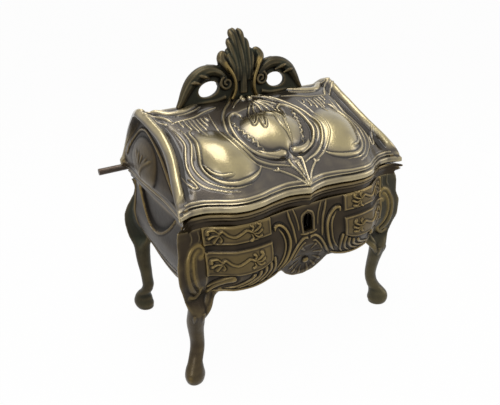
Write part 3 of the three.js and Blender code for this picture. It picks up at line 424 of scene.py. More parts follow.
def rod(points, radii):
    """A round bar along a line of points, as a curve with a bevel that is made a mesh"""
    rows = flowing([tuple(p) + (r,) for p, r in zip(points, radii)], LINE_STEPS)
    data = bpy.data.curves.new("bar", "CURVE")
    data.dimensions = "3D"
    data.bevel_depth = 0.001
    data.bevel_resolution = 3
    data.use_fill_caps = True
    line = draw_line(data, metres(rows[:, :3]))
    for point, radius in zip(line.points, rows[:, 3]):
        point.radius = max(radius, THINNEST_BAR)
    return curve_mesh(data)


def cast_together(name, pieces, voxel, smoothing):
    """Joins pieces and skins them in one, as a mould does; voxel in millimetres"""
    cast = join(name, pieces)
    cast.data.remesh_voxel_size = voxel / 1000
    cast.data.remesh_voxel_adaptivity = 0
    bpy.ops.object.voxel_remesh()
    apply(cast, "SMOOTH", factor=0.5, iterations=smoothing)
    return cast


def rub(piece, broad, fine, gain=(1.6, 2.6)):
    """Stores how proud of its surroundings each point stands: proud points are rubbed bright, low ones keep dirt.
    The surroundings are the mesh smoothed a broad and a fine number of times"""
    mesh = piece.data
    count = len(mesh.vertices)
    place = vectors(mesh.vertices) * 1000
    normal = vectors(mesh.vertex_normals, "vector")
    edges = np.empty(len(mesh.edges) * 2, np.int32)
    mesh.edges.foreach_get("vertices", edges)
    edges = edges.reshape(-1, 2)
    ends, others = edges.T.ravel(), edges[:, ::-1].T.ravel()
    degree = np.maximum(np.bincount(ends, minlength=count), 1)[:, None]
    smooth = place.copy()
    levels = []
    for step in range(1, broad + 1):
        total = np.stack([np.bincount(ends, weights=smooth[others, k], minlength=count) for k in range(3)], axis=1)
        smooth = 0.4 * smooth + 0.6 * total / degree
        if step in (fine, broad):
            levels.append(((place - smooth) * normal).sum(axis=1))
    proud = gain[0] * levels[-1] + gain[1] * levels[0]
    store(piece, "rubbed", np.clip(proud, 0, 1))
    store(piece, "recess", np.clip(-proud, 0, 1))
    if mesh.attributes.get("polish") is None:
        store(piece, "polish", np.zeros(count))


# ---------------------------------------------------------------- materials


def noise(tree, vector, scale, detail, **more):
    return add(tree, "ShaderNodeTexNoise", {"Vector": vector, "Scale": scale, "Detail": detail, **more}).outputs["Fac"]


def ramp(tree, value, low, high, start=0.0, end=1.0):
    """Low to high while the value goes from start to end"""
    return add(tree, "ShaderNodeMapRange", {"Value": value, 1: start, 2: end, 3: low, 4: high}).outputs[0]


def blend(tree, share, first, second):
    """Colour between two, which are sockets or hex codes"""
    first, second = (linear(colour) if isinstance(colour, str) else colour for colour in (first, second))
    return add(tree, "ShaderNodeMix", {0: share, 6: first, 7: second}, data_type="RGBA").outputs[2]


def bumps(tree, height, strength, distance, **more):
    return add(tree, "ShaderNodeBump",
               {"Height": height, "Strength": strength, "Distance": distance, **more}).outputs[0]


def surface(tree, colour, roughness, normal, **more):
    """The material's surface; a blank in an input's name is written as an underscore"""
    inputs = {key.replace("_", " "): value for key, value in more.items()}
    shader = add(tree, "ShaderNodeBsdfPrincipled",
                 {"Base Color": colour, "Roughness": roughness, "Normal": normal, **inputs})
    add(tree, "ShaderNodeOutputMaterial", {"Surface": shader.outputs[0]})


def start_material(name):
    material = bpy.data.materials.new(name)
    tree = blank_tree(material)
    return material, tree, add(tree, "ShaderNodeTexCoord").outputs["Object"]


def cast_brass(name, ground, tarnish, worn, gold, dirt, rough, lacquer):
    """Brass cast in sand, toned dark with a chemical patina, lacquered and then rubbed back to the metal on
    whatever stands proud: a soft mirror with a fine cast grain, gold on ridges and almost black in the hollows"""
    material, tree, coordinates = start_material(name)
    cloud = noise(tree, coordinates, 70.0, 4.0, Roughness=0.6)
    grain = noise(tree, coordinates, 900.0, 3.0)
    rubbed, polish, recess = (add(tree, "ShaderNodeAttribute", attribute_name=layer).outputs["Fac"]
                              for layer in ("rubbed", "polish", "recess"))
    uneven = ramp(tree, cloud, 0.65, 1.25, 0.3, 0.7)
    amount = maths(tree, "MULTIPLY", maths(tree, "MAXIMUM", rubbed, polish), uneven, use_clamp=True)
    toned = blend(tree, cloud, ground, tarnish)
    gilt = blend(tree, amount, toned, blend(tree, polish, worn, gold))
    roughness = maths(tree, "ADD", ramp(tree, amount, rough[1], rough[0]), ramp(tree, recess, 0.0, 0.25))
    wavy = bumps(tree, cloud, 0.25, 0.0012, Normal=bumps(tree, grain, 0.18, 0.0003))
    surface(tree, blend(tree, recess, gilt, dirt), roughness, wavy, Metallic=0.92, Coat_Weight=lacquer,
            Coat_Roughness=0.16)
    return material


def steel(name, code, rough):
    """Mild steel, filed by hand: grey, with a fine grain and a brownish bloom"""
    material, tree, coordinates = start_material(name)
    stretched = add(tree, "ShaderNodeMapping", {"Vector": coordinates, "Scale": (60.0, 900.0, 900.0)}).outputs[0]
    grain = noise(tree, stretched, 1.0, 3.0)
    spots = ramp(tree, noise(tree, coordinates, 220.0, 4.0), 0.0, 0.8, 0.48, 0.72)
    surface(tree, blend(tree, spots, code, "#4a3a2e"), ramp(tree, grain, rough - 0.1, rough + 0.15),
            bumps(tree, grain, 0.2, 0.0002), Metallic=0.9)
    return material


def velvet(name, code, pile):
    """Cotton velvet: a dense short pile of about 0.2 mm tufts, dark head on and light where it is seen edge on"""
    material, tree, coordinates = start_material(name)
    tufts = add(tree, "ShaderNodeTexVoronoi", {"Vector": coordinates, "Scale": 2600.0}).outputs["Distance"]
    surface(tree, blend(tree, noise(tree, coordinates, 90.0, 3.0), code, pile), 0.9,
            bumps(tree, tufts, 0.5, 0.0002), Sheen_Weight=0.35, Sheen_Roughness=0.4)
    return material


# ground, tarnish, rubbed brass, polished brass, dirt; roughness where bright and where toned; lacquer
LID_BRASS = cast_brass(
    "Rubbed brass casting, lid", "#3f3831", "#4c443a", "#a69875", "#9b8e66", "#241f18", (0.28, 0.37), 0.9)
BODY_BRASS = cast_brass(
    "Dark brass casting, body", "#2b2419", "#392f22", "#6e6043", "#846f3c", "#16120c", (0.3, 0.42), 0.1)
# darker than the body's brass as painted shade, with a green tone of verdigris; used on the crest and the back left leg
SHADE_BRASS = cast_brass(
    "Brass casting dulled with verdigris and painted shade", "#261e17", "#2a3125", "#67593e", "#8a7544", "#100e0a", (0.32, 0.48), 0.05)
BLOOM_BRASS = cast_brass(
    "Brass casting with a green bloom", "#2a241b", "#39392a", "#75694a", "#86713c", "#14110c", (0.3, 0.44), 0.1)
# the body's brass made darker still: painted shade for the side panels and lid ends, which are turned from the light
PAINTED_SHADE_BRASS = cast_brass(
    "Dark brass casting with painted shade, sides and lid ends", "#211a12", "#2d241a", "#5f5035", "#846f3c", "#14100a",
    (0.32, 0.46), 0.04)
PIN_STEEL = steel("Drawn steel rod", "#5d544c", 0.42)
LOCK_STEEL = steel("Filed mild steel", "#7d7a74", 0.4)
RED_VELVET = velvet("Cotton velvet, wine red", "#4a0f19", "#6d1b28")


SHARP_EDGE = math.radians(50)


def dress(piece, body, material, slot, *nodes):
    """Finishes a piece: smooth shading with edges kept, its material, its body and what it stands for"""
    pick(piece)
    bpy.ops.object.shade_smooth_by_angle(angle=SHARP_EDGE)
    piece.data.materials.clear()
    piece.data.materials.append(material)
    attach(piece, body)
    if nodes:
        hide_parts(*nodes)
    return piece


# ---------------------------------------------------------------- outlines shared with the part's source

LID_FRONT = through([(0, -55), (6, -52.5), (12, -51.3), (20, -52.3), (30, -54.5), (36, -54.8), (42, -53.5),
                     (50, -48.5), (57, -45), (62, -44.6), (66, -46), (70, -48)])
RIM_FRONT = through([(0, -54.2), (5, -52), (12, -51), (20, -51.8), (30, -53.7), (36, -54), (43, -52.5),
                     (50, -48.2), (57, -44.8), (62, -44.3), (66, -45.6), (70, -49)])
RIM_SIDE = through([(-49, 70), (-44, 68), (-34, 67), (-13, 66), (2, 66.5), (21, 66.8), (36, 66.4), (42.5, 66.6)])
LID_SIDE = through([(-48, 70), (-42, 68.4), (-34, 67.4), (-13, 66.4), (2, 66.8), (21, 67.2), (36, 67.2), (46, 69)])
BODY_FRONT = through([(0, -52), (12, -52), (23, -53), (33, -53.6), (44, -52), (50, -48.5), (57, -44.5), (72, -44)])
SWELL = through([(0, -1.5), (6, -1.5), (12, -1), (19, 0), (27, 1.2), (34, 0.6), (42, -2.3), (47, -4), (52, -5),
                 (62, -7)])
APRON_FRONT = through([(0, 50.6), (6, 51.6), (12, 55), (16.5, 59.4), (22, 57.3), (30, 55.2), (40, 55.2), (48, 56),
                       (57, 54.6)])
APRON_SIDE = through([(0, 49), (8, 49.4), (16, 51.5), (24, 54), (30, 54.4), (36.5, 54)])
APRON_BACK = through([(0, 56), (20, 54.5), (40, 54.5), (57, 54.6)])
LEG_TIP_FRONT = through([(0, 71), (1.6, 71.9), (5, 72.4), (8, 71.9), (11, 70.2), (14, 68.2), (18, 66.7),
                         (23, 66.1), (31, 66.9), (39, 68.3), (46, 69.4), (53, 69.8), (61, 71.3), (68, 73),
                         (76.5, 73.25), (83, 71.7), (91, 71.3), (96, 70)])
LEG_TIP_BACK = through([(0, 71.6), (2, 72.8), (5, 73.4), (9, 72.6), (12, 71.2), (15, 69), (19, 67.9), (28, 68.2),
                        (35, 69), (44, 70.2), (55, 71.6), (64, 72.4), (69, 72.2), (75, 70.6), (81, 68), (86, 65.9),
                        (90, 65.2), (96, 66.2)])
LEG_THICKNESS = through([(0, 5.4), (4, 6.7), (8, 6.1), (12, 4.7), (17, 3.8), (23, 3.6), (31, 3.9), (39, 4.5),
                         (46, 5.2), (54, 6)])
LEG_WIDTH = through([(0, 4.6), (4, 5.5), (8, 5), (12, 4.1), (17, 4.1), (23, 4.1), (31, 4.4), (39, 5),
                     (46, 5), (54, 6.2)])
# how far the leg's section slides from its corner towards the front or the back face
LEG_SLIDE = through([(0, 0), (12, 0), (20, 0.6), (31, 0.9), (39, 1.9), (46, 3.5), (54, 4.4)])
LEG_DIAGONAL = 27.6  # x + y of the line that the front right leg's tip keeps to

RIM_TOP, RIM_BOTTOM, PANEL_TOP = 101.9, 95.6, 95.3
LID_BOTTOM, RIDGE_Y, LID_BACK_Y, LID_HALF = 102.2, 15.0, 44.5, 70
HINGE = (0, 46.0, 100.8)
LID_KNUCKLES = [(-51.7, -41.7), (41.7, 51.7)]
BODY_KNUCKLES = [(-62, -52), (-7, 7), (52, 62)]
POST_X, POST_Y = 57.0, 36.5
WALL = 2.6


def front_face(x, z):
    return BODY_FRONT(np.abs(x)) - SWELL(RIM_TOP - z)


def back_face(z):
    return 41 + 0.6 * SWELL(RIM_TOP - z)


def shield_top(y):
    """Height of the arched edge of the side panel's raised field"""
    return 79 + 14 * (y / 25) ** 2


def side_face(y, z):
    shield = 1.6 * ease((shield_top(y) - z + 1.5) / 3)
    return 64.5 + np.cos(np.pi * y / (2 * POST_Y)) + 1.1 * SWELL(RIM_TOP - z) + shield


def hand(side):
    return "right" if side > 0 else "left"


# ---------------------------------------------------------------- lid

# section from the front edge over the ridge to the back: depth share, height over the lid's edge, inset, half width
LID_FRONT_ROWS = [(0, 0, 1.2, 69.2), (0, 1.4, 0, 70), (0, 3.2, 0, 70), (0, 4.6, 1.8, 69.6), (0.07, 8.6, 0.6, 69.2),
                  (0.16, 13, 0, 68), (0.27, 17.9, 0, 66), (0.38, 22.3, 0, 64.2), (0.5, 26.5, 0, 63.2),
                  (0.62, 30.2, 0, 63), (0.75, 33.2, 0, 63.7), (0.88, 36.2, 0, 64.9), (1, 38, 0, 66)]
LID_BACK_ROWS = [(0.16, 36.6, 0, 65.6), (0.36, 33, 0, 65), (0.6, 27.4, 0, 64.6), (0.8, 20.6, 0, 64.8),
                 (0.94, 12.6, 0, 65.8), (1, 6, 0.2, 67.6), (1, 3.4, 0, 69.2), (1, 1.4, 0, 69.2), (1, 0, 1.2, 68.6)]
SECTION_FRONT_Y = -53
LID_HALF_WIDTH = through([(row[1], row[3]) for row in LID_FRONT_ROWS])


def lid_section():
    """The lid's rows, each with -1 or 1 for its slope put first, and the way along the section to each of them"""
    rows = [(-1, *row) for row in LID_FRONT_ROWS] + [(1, *row) for row in LID_BACK_ROWS]
    depth = [mix(SECTION_FRONT_Y, RIDGE_Y, share) + inset if slope < 0 else mix(RIDGE_Y, LID_BACK_Y, share) - inset
             for slope, share, _, inset, _ in rows]
    height = [row[2] for row in rows]
    return rows, np.concatenate([[0], np.cumsum(np.hypot(np.diff(depth), np.diff(height)))])


LID_ROWS, LID_WAY = lid_section()
RIDGE_WAY, END_WAY = LID_WAY[len(LID_FRONT_ROWS) - 1], LID_WAY[-1]
LIP_ROWS = 3  # rows of the lid's lip, below the front slope
FRONT_SHARE = np.array([row[0] for row in LID_FRONT_ROWS[LIP_ROWS:]])
FRONT_WAY = LID_WAY[LIP_ROWS:len(LID_FRONT_ROWS)]


def up_lid(share):
    """Way along the section at a share of the lid's front slope"""
    return float(np.interp(share, FRONT_SHARE, FRONT_WAY))


def lid_back(x):
    return LID_BACK_Y + 2 * (np.abs(x) / LID_HALF) ** 6


def lid_skin(x_share, way):
    """Points of the lid's outer skin; x_share runs from -1 to 1 between the ends"""
    def along(column, front=None, back=None):
        """A column of the lid's rows, or the number that is given for all rows of one slope"""
        given = {-1: front, 1: back}
        values = [row[column] if given[row[0]] is None else given[row[0]] for row in LID_ROWS]
        return through(list(zip(LID_WAY, values)))(way)

    half_width = along(4)
    x = x_share * half_width
    y = mix(LID_FRONT(np.abs(x)) + along(3, back=0.0), RIDGE_Y, along(1, back=1.0))
    y = y + (lid_back(x) - along(3, front=0.0) - RIDGE_Y) * along(1, front=0.0)
    return np.stack([x, y, LID_BOTTOM + along(2)], axis=-1), half_width


def lid_strokes(relief):
    """The front's ornament, traced on one half; x is measured from the middle, so the other half mirrors it"""
    def line(points, width, height, shine=0.4, groove=0.4, tips=(0.35, 0.35)):
        placed = [(p[0], up_lid(p[1]), *p[2:]) for p in points]
        relief.stroke(placed, width, height, 0.35 * shine, groove, tips)

    # lip of the lid: a rounded moulding, and two lines over it that follow its waves
    relief.stroke([(-5, 1.7), (20, 1.7), (45, 1.7), (72, 1.7)], 1.25, 0.45, 0.5, 0.4, (1, 1))
    relief.stroke([(-5, 4.7), (20, 4.7), (45, 4.7), (67, 4.7)], 0.55, 0.45, 0.25, 0.7, (1, 1))
    relief.stroke([(-5, 6.6), (20, 6.6), (45, 6.5), (66, 6.6)], 0.5, 0.4, 0.2, 0.7, (1, 1))
    relief.stroke([(-5, 9), (14, 8.8), (40, 8.2), (65, 8.6)], 0.55, 0.35, 0.15, 0.6, (1, 1))
    # lines round the side bulge
    line([(43, 0.66, 0.6), (46, 0.62), (46, 0.5), (48, 0.38), (49.6, 0.3), (48.6, 0.225), (45, 0.17, 1.3),
          (38, 0.14, 1.5), (30, 0.145, 1.5), (23, 0.175, 1.2), (19.5, 0.215, 0.7)], 0.8, 0.85, 0.9)
    line([(50, 0.72, 0.6), (48.4, 0.6), (48.6, 0.5), (51, 0.4), (53, 0.32), (53, 0.25), (50.6, 0.175), (45.5, 0.13),
          (38, 0.11), (30, 0.115)], 0.6, 0.5, 0.3)
    line([(53, 0.7, 0.6), (52, 0.6), (51.5, 0.5), (54, 0.4), (56, 0.3), (55.5, 0.2), (52, 0.13), (45, 0.095),
          (38, 0.082)], 0.6, 0.45, 0.3)
    line([(48.5, 0.3, 0.6), (46.6, 0.24), (43.5, 0.21), (40, 0.2), (36.5, 0.2, 0.6)], 0.8, 0.8, 0.55)
    # border over the bulge, and the rolled leaf band that runs from the crest's foot to the end of the ridge
    line([(51, 0.765, 1.2), (46, 0.785), (38, 0.805), (30, 0.85), (21.5, 0.88)], 0.6, 0.5, 0.5)
    line([(64, 0.97), (59, 0.935), (54, 0.86), (50.5, 0.78, 1.4)], 0.8, 0.8, 0.4)
    line([(64, 0.91), (60, 0.875), (56, 0.8), (53.5, 0.76, 1.4)], 0.7, 0.7, 0.4)
    line([(61, 1.0), (55, 0.96), (49, 0.9), (42, 0.905), (35, 0.94), (28, 0.985)], 1.8, 1.3, 0.1)
    line([(47, 0.86), (41, 0.865), (34, 0.9), (29, 0.93)], 0.6, 0.5, 0.25)
    # feathers that hang from the border
    for top, tip_x, tip in ((46.5, 46.5, 0.70), (44, 43.5, 0.655), (41.5, 40.8, 0.61), (39.5, 38.6, 0.545),
                            (37, 36.2, 0.625), (34.6, 33.8, 0.67), (32.2, 31.4, 0.73)):
        line([(top, 0.79, 0.6), ((top + tip_x) / 2 + 0.5, (0.79 + tip) / 2), (tip_x, tip, 1.2)], 0.55, 0.45, 0.4, 0.6)
    # cartouche in the middle: the stem from the crest, the rolled frame and the outer line
    line([(5.6, 1.03), (7.6, 0.98), (11.6, 0.92), (16, 0.86), (20.4, 0.78), (24.2, 0.68), (26.6, 0.56), (26.8, 0.45),
          (24.6, 0.35), (20.5, 0.26), (14, 0.195), (7.5, 0.17), (3.5, 0.155)], 0.8, 0.85, 0.45)
    line([(12.6, 0.665, 0.8), (12.6, 0.725, 1), (15.6, 0.752), (19.6, 0.71), (22.4, 0.61), (23.2, 0.5),
          (21.8, 0.4), (18, 0.315), (13, 0.262), (8, 0.238, 0.8), (4, 0.232, 0.5)], 1.0, 1.25, 0.6, 0.5)
    line([(28.5, 0.82, 0.6), (30.3, 0.66), (30.6, 0.5), (28.8, 0.36), (25, 0.275), (19.5, 0.2), (12, 0.14)],
         0.5, 0.4, 0.25)
    # rolled lip under the boss
    line([(16.4, 0.335, 0.35), (13, 0.288, 0.8), (9, 0.268, 1.1), (5, 0.272, 1.15), (2.6, 0.3, 0.7)], 2.1, 1.9, 0.7)
    # crinkled edge of the shell between the frame and the boss
    crinkle = []
    for k in range(23):
        share = k / 22
        across = 19.4 - 7.4 * share ** 1.7 + 0.75 * math.sin(k * 2.1)
        crinkle.append((across, 0.67 - 0.35 * share, 1 + 0.35 * math.sin(k * 2.1)))
    line(crinkle, 0.55, 0.6, 0.5)
    # bud under the lip, and the lines that run together in the lid's front point
    line([(2.2, 0.225, 0.6), (3.8, 0.205, 1.1), (3.6, 0.17, 1), (2, 0.11, 0.8), (0.7, 0.04, 0.8), (0, 0.0, 0.8)],
         0.75, 0.9, 0.55)
    line([(0.6, 0.19, 0.7), (0.4, 0.14, 0.9), (0, 0.08, 0.8)], 0.6, 0.5, 0.3)
    line([(13.5, 0.158, 0.6), (10, 0.125), (6, 0.085), (2.5, 0.04), (0.3, 0.0)], 0.65, 0.7, 0.5)
    line([(14.6, 0.15, 0.8), (12, 0.14, 1), (11.4, 0.165, 1)], 0.7, 0.7, 0.4)
    # plain border on the back slope
    top, low = RIDGE_WAY + 8, END_WAY - 13
    relief.stroke([(-5, top), (30, top), (54, top), (57.4, top + 3), (57.8, (top + low) / 2), (57.4, low - 3),
                   (54, low), (30, low), (-5, low)], 0.9, 0.6, 0.2, 0.5, (1, 1))
    # loop in the lower corner
    line([(61.5, 0.27), (60, 0.2), (57.6, 0.135), (55.6, 0.13), (56.4, 0.175), (58.2, 0.215)], 0.6, 0.5, 0.35)


# leaves that hang over the boss, each with its half width
LID_LEAVES = [
    ([(-0.5, 0.86), (-6, 0.74), (-9.4, 0.62), (-10.6, 0.54), (-7.6, 0.58), (-4.6, 0.66)], 0.55),
    ([(0, 0.83), (-3.6, 0.7), (-6, 0.56), (-6.2, 0.49), (-4, 0.53), (-2, 0.62)], 0.55),
    ([(1.6, 0.88), (2.8, 0.78), (1.6, 0.68), (3.6, 0.6), (2.4, 0.5), (4, 0.41), (4.4, 0.32)], 0.75),
    ([(3.2, 0.88), (6.8, 0.76), (5.8, 0.66), (7.4, 0.56), (6.2, 0.47), (4.6, 0.34)], 0.55),
    ([(4.4, 0.87), (10, 0.77), (10.8, 0.66), (9, 0.53)], 0.5),
    ([(6, 0.88), (13.2, 0.79), (14.4, 0.68), (12.6, 0.6)], 0.5),
    ([(0, 0.95), (-7, 0.91), (-12.5, 0.83)], 0.5), ([(4.6, 0.95), (11, 0.91), (16.6, 0.82)], 0.5)]
ROLL_WIDTH, ROLL_HEIGHT = 5.8, 2.6
BAND_CENTRE, BAND_WIDTH, BAND_DEPTH = 8.2, 1.8, 0.9


def lid_casting():
    way = np.concatenate([np.linspace(0, RIDGE_WAY, 201)[:-1], np.linspace(RIDGE_WAY, END_WAY, 37)])
    x_grid, way_grid = np.meshgrid(np.linspace(-1, 1, 373), way)
    skin, half_width = lid_skin(x_grid, way_grid)
    x = np.abs(skin[..., 0])
    relief = Relief(x, way_grid)
    relief.boss((35.8, up_lid(0.365)), (15.5, 20), 4.4, 0.95, -0.35, 1.4)
    relief.boss((0, up_lid(0.49)), (25, up_lid(0.8) - up_lid(0.49)), -1.0, 0.0, power=0.35)
    relief.boss((0, up_lid(0.51)), (18.6, 16.4), 5.2, 0.9, 0.0, 0.95)
    relief.boss((2.4, up_lid(0.93)), (1.8, 1.8), 1.6, 0.5)
    lid_strokes(relief)
    # end rolls, with a shallow band inside them; on the front slope a painted highlight gilds each roll, strongest
    # along its crest
    from_end = half_width - x
    roll = np.where(from_end < ROLL_WIDTH, np.sin(np.pi * np.clip(from_end, 0, ROLL_WIDTH) / ROLL_WIDTH), 0)
    band = np.exp(-((from_end - BAND_CENTRE) / BAND_WIDTH) ** 2)
    on_front = np.clip((way_grid - 9) / 4, 0, 1) * np.clip((RIDGE_WAY - 6 - way_grid) / 6, 0, 1)
    off_edges = through([(0, 0), (9, 0), (14, 1), (END_WAY - 16, 1), (END_WAY - 10, 0), (END_WAY, 0)])(way_grid)
    height = relief.height() + (ROLL_HEIGHT * roll ** 0.8 - BAND_DEPTH * band) * off_edges
    polish = np.maximum(relief.polish.reshape(height.shape), roll ** 1.2 * on_front)
    # the leaves lean to one side, so they aren't mirrored
    leaf = Relief(skin[..., 0], way_grid)
    for path, width in LID_LEAVES:
        leaf.stroke([(across, up_lid(share)) for across, share in path], width, 0.6, 0.15, 0.9, (0.8, 0.5))
    height += leaf.height()
    polish = np.maximum(polish, leaf.polish.reshape(height.shape))
    # nothing passes the front tip, the ends or the lower edge
    calm = np.clip((way_grid - 0.4) / 1.2, 0, 1) * np.clip((END_WAY - way_grid) / 2, 0, 1)
    past_lip = np.clip((way_grid - 4.5) / 2, 0, 1)
    height *= calm * (0.35 + 0.65 * past_lip)
    points = skin + normals_of(skin) * (height - 0.35 * (1 - past_lip))[..., None]
    points[..., 0] = np.clip(points[..., 0], -LID_HALF, LID_HALF)
    points[..., 1] = np.maximum(points[..., 1], LID_TIP_Y + 0.02)
    # inside of the wall, thinner towards the ends
    plain_x, plain_way = np.meshgrid(np.linspace(-1, 1, 65), np.concatenate([[0.9], np.linspace(4, END_WAY - 1, 44)]))
    plain, _ = lid_skin(plain_x, plain_way)
    inward = normals_of(plain)
    if inward[..., 2].sum() > 0:
        inward = -inward
    plain += inward * (WALL * (1 - 0.6 * np.abs(plain_x) ** 30))[..., None]
    plain[..., 2] = np.maximum(plain[..., 2], LID_BOTTOM + 0.05)
    sheet = walled("Lid_casting", points, plain, polish)
    cut_away(sheet, knuckle_gaps(BODY_KNUCKLES, 3.8))
    rub(sheet, broad=76, fine=9)
    place = places(sheet)
    # painted shade: above the lip the rubbed brightness fades out towards the lid's ends, so the end rolls' outer
    # flanks stay dark like their shaded side
    to_end = LID_HALF_WIDTH(place[:, 2] - LID_BOTTOM) - np.abs(place[:, 0])
    scale_store(sheet, "rubbed", np.where(place[:, 2] > LID_BOTTOM + 6, np.clip(to_end / 1.2, 0.1, 1), 1))
    # painted shade: past the ridge the back slope is rubbed less bright, so its broad face keeps more of the dark tone
    scale_store(sheet, "rubbed", 1 - 0.55 * np.clip((place[:, 1] - RIDGE_Y - 2) / 4, 0, 1))
    return join("Lid_casting", [sheet, *(knuckle(*span) for span in LID_KNUCKLES)])


def knuckle(start, end):
    """Barrel of the hinge: a tube along X with a bore for the pin"""
    tube = drum(3.4, start, end, HINGE, ends="NOTHING")
    apply(tube, "SOLIDIFY", thickness=0.00128, offset=-1, use_rim=True)
    apply(tube, "BEVEL", width=0.0003, segments=2, limit_method="ANGLE", angle_limit=math.radians(60))
    rub(tube, broad=2, fine=1)
    return tube


def knuckle_gaps(spans, radius):
    """Drums that clear the way for the other half's knuckles"""
    return [drum(radius, start - 0.3, end + 0.3, HINGE) for start, end in spans]


# ---------------------------------------------------------------- front, sides and back of the case


def panel_points(columns, rows, half, low_edge, place):
    along, share = np.meshgrid(np.linspace(-half, half, columns + 1), np.linspace(0, 1, rows + 1))
    z = mix(low_edge(np.abs(along)), PANEL_TOP, share)
    return along, z, place(along, z)


def walled(name, outer, inner, polish):
    """Closed wall: a fine sheet with the relief outside, a plain coarse one inside, and their edges bridged"""
    wall = join(name, [grid_sheet(name, outer, polish), grid_sheet(name, inner, np.zeros(inner.shape[:2]))])
    edit(wall, (bpy.ops.mesh.select_all, {"action": "DESELECT"}),
         (bpy.ops.mesh.select_mode, {"type": "EDGE"}),
         (bpy.ops.mesh.select_non_manifold, {"extend": False, "use_wire": False, "use_multi_face": False,
                                             "use_non_contiguous": False, "use_verts": False}),
         (bpy.ops.mesh.bridge_edge_loops, {}), (bpy.ops.mesh.select_mode, {"type": "VERT"}),
         (bpy.ops.mesh.select_all, {"action": "SELECT"}), FACE_OUT)
    return wall


def raise_sheet(name, points, height, outside, polish):
    """Sheet with its relief, given a wall of even thickness on the inside, and rubbed"""
    normal = normals_of(points)
    if (normal.mean(axis=(0, 1)) * outside).sum() < 0:
        normal = -normal
    sheet = grid_sheet(name, points + normal * height[..., None], polish)
    sample = list(sheet.data.polygons)[::97]
    if sum(face.normal.dot(Vector(outside)) for face in sample) < 0:
        edit(sheet, TURN_OVER)
    apply(sheet, "SOLIDIFY", thickness=WALL / 1000, offset=-1, use_rim=True)
    rub(sheet, broad=24, fine=5)
    return sheet


def drawer(relief, low_edge, top_edge, inner):
    """A raised drawer front with a fine border; the edges are lines of x and z from the inner end outwards"""
    x, z = relief.across, relief.along
    low, top = through(low_edge)(x), through(top_edge)(x)
    inside = np.minimum(np.minimum(x - inner, z - low), top - z)
    border = np.exp(-((inside - 0.9) / 0.42) ** 2)
    relief.swell += ease((inside + 0.2) / 0.9) + 0.35 * border
    shine = np.maximum(0.62 * np.clip((inside - 1.2) / 1.5, 0, 1), 0.5 * border)
    relief.polish = np.maximum(relief.polish, shine)


def growing(path, first, step):
    """A path whose breadth changes by a step from point to point"""
    return [(*point, first + step * k) for k, point in enumerate(path)]


def drawer_pull(relief, z):
    """Cast handle: a waved bar between two bunches of leaves; heights are measured from z"""
    def at_height(path):
        return [(x, z + up) for x, up in path]

    relief.stroke(at_height([(51, 1.8), (49.4, 3.2), (47, 1), (43.8, 0), (40.6, 1.2), (37.8, 2.5), (35.2, 1)]),
                  0.72, 0.9, 0.8, 0.4, (0.8, 0.8))
    for path in ([(50.8, 1.8), (52.6, 3.7), (55.2, 3.4), (55.6, 1.8)], [(51, 1.2), (53.6, 0.7), (55.4, -0.6)],
                 [(51, 0.8), (52.4, -1), (53.4, -2.6)], [(50.6, 0.8), (50, -1), (50.6, -2.2)],
                 [(35, 1), (32.6, 1.7), (30.4, 3.2), (31, 4.6)], [(34.8, 0.5), (32, -0.3), (29.6, 0.9)],
                 [(34.6, 0), (32.2, -2.2), (30, -2)], [(35.4, 0), (34.8, -2.2), (36, -3.2)],
                 [(35.4, 1.4), (34.4, 3.2), (35.2, 4.3)]):
        relief.stroke(growing(at_height(path), 0.7, 0.5), 0.5, 0.8, 0.75, 0.4, (0.7, 0.9))


KEYHOLE_HALF, KEYHOLE_LOW, KEYHOLE_EYE = 2.85, 80.5, 87.45
KEYHOLE_FROM_Y, KEYHOLE_TO_Y = -60, -40
APRON_LIMIT_Y = -57.0


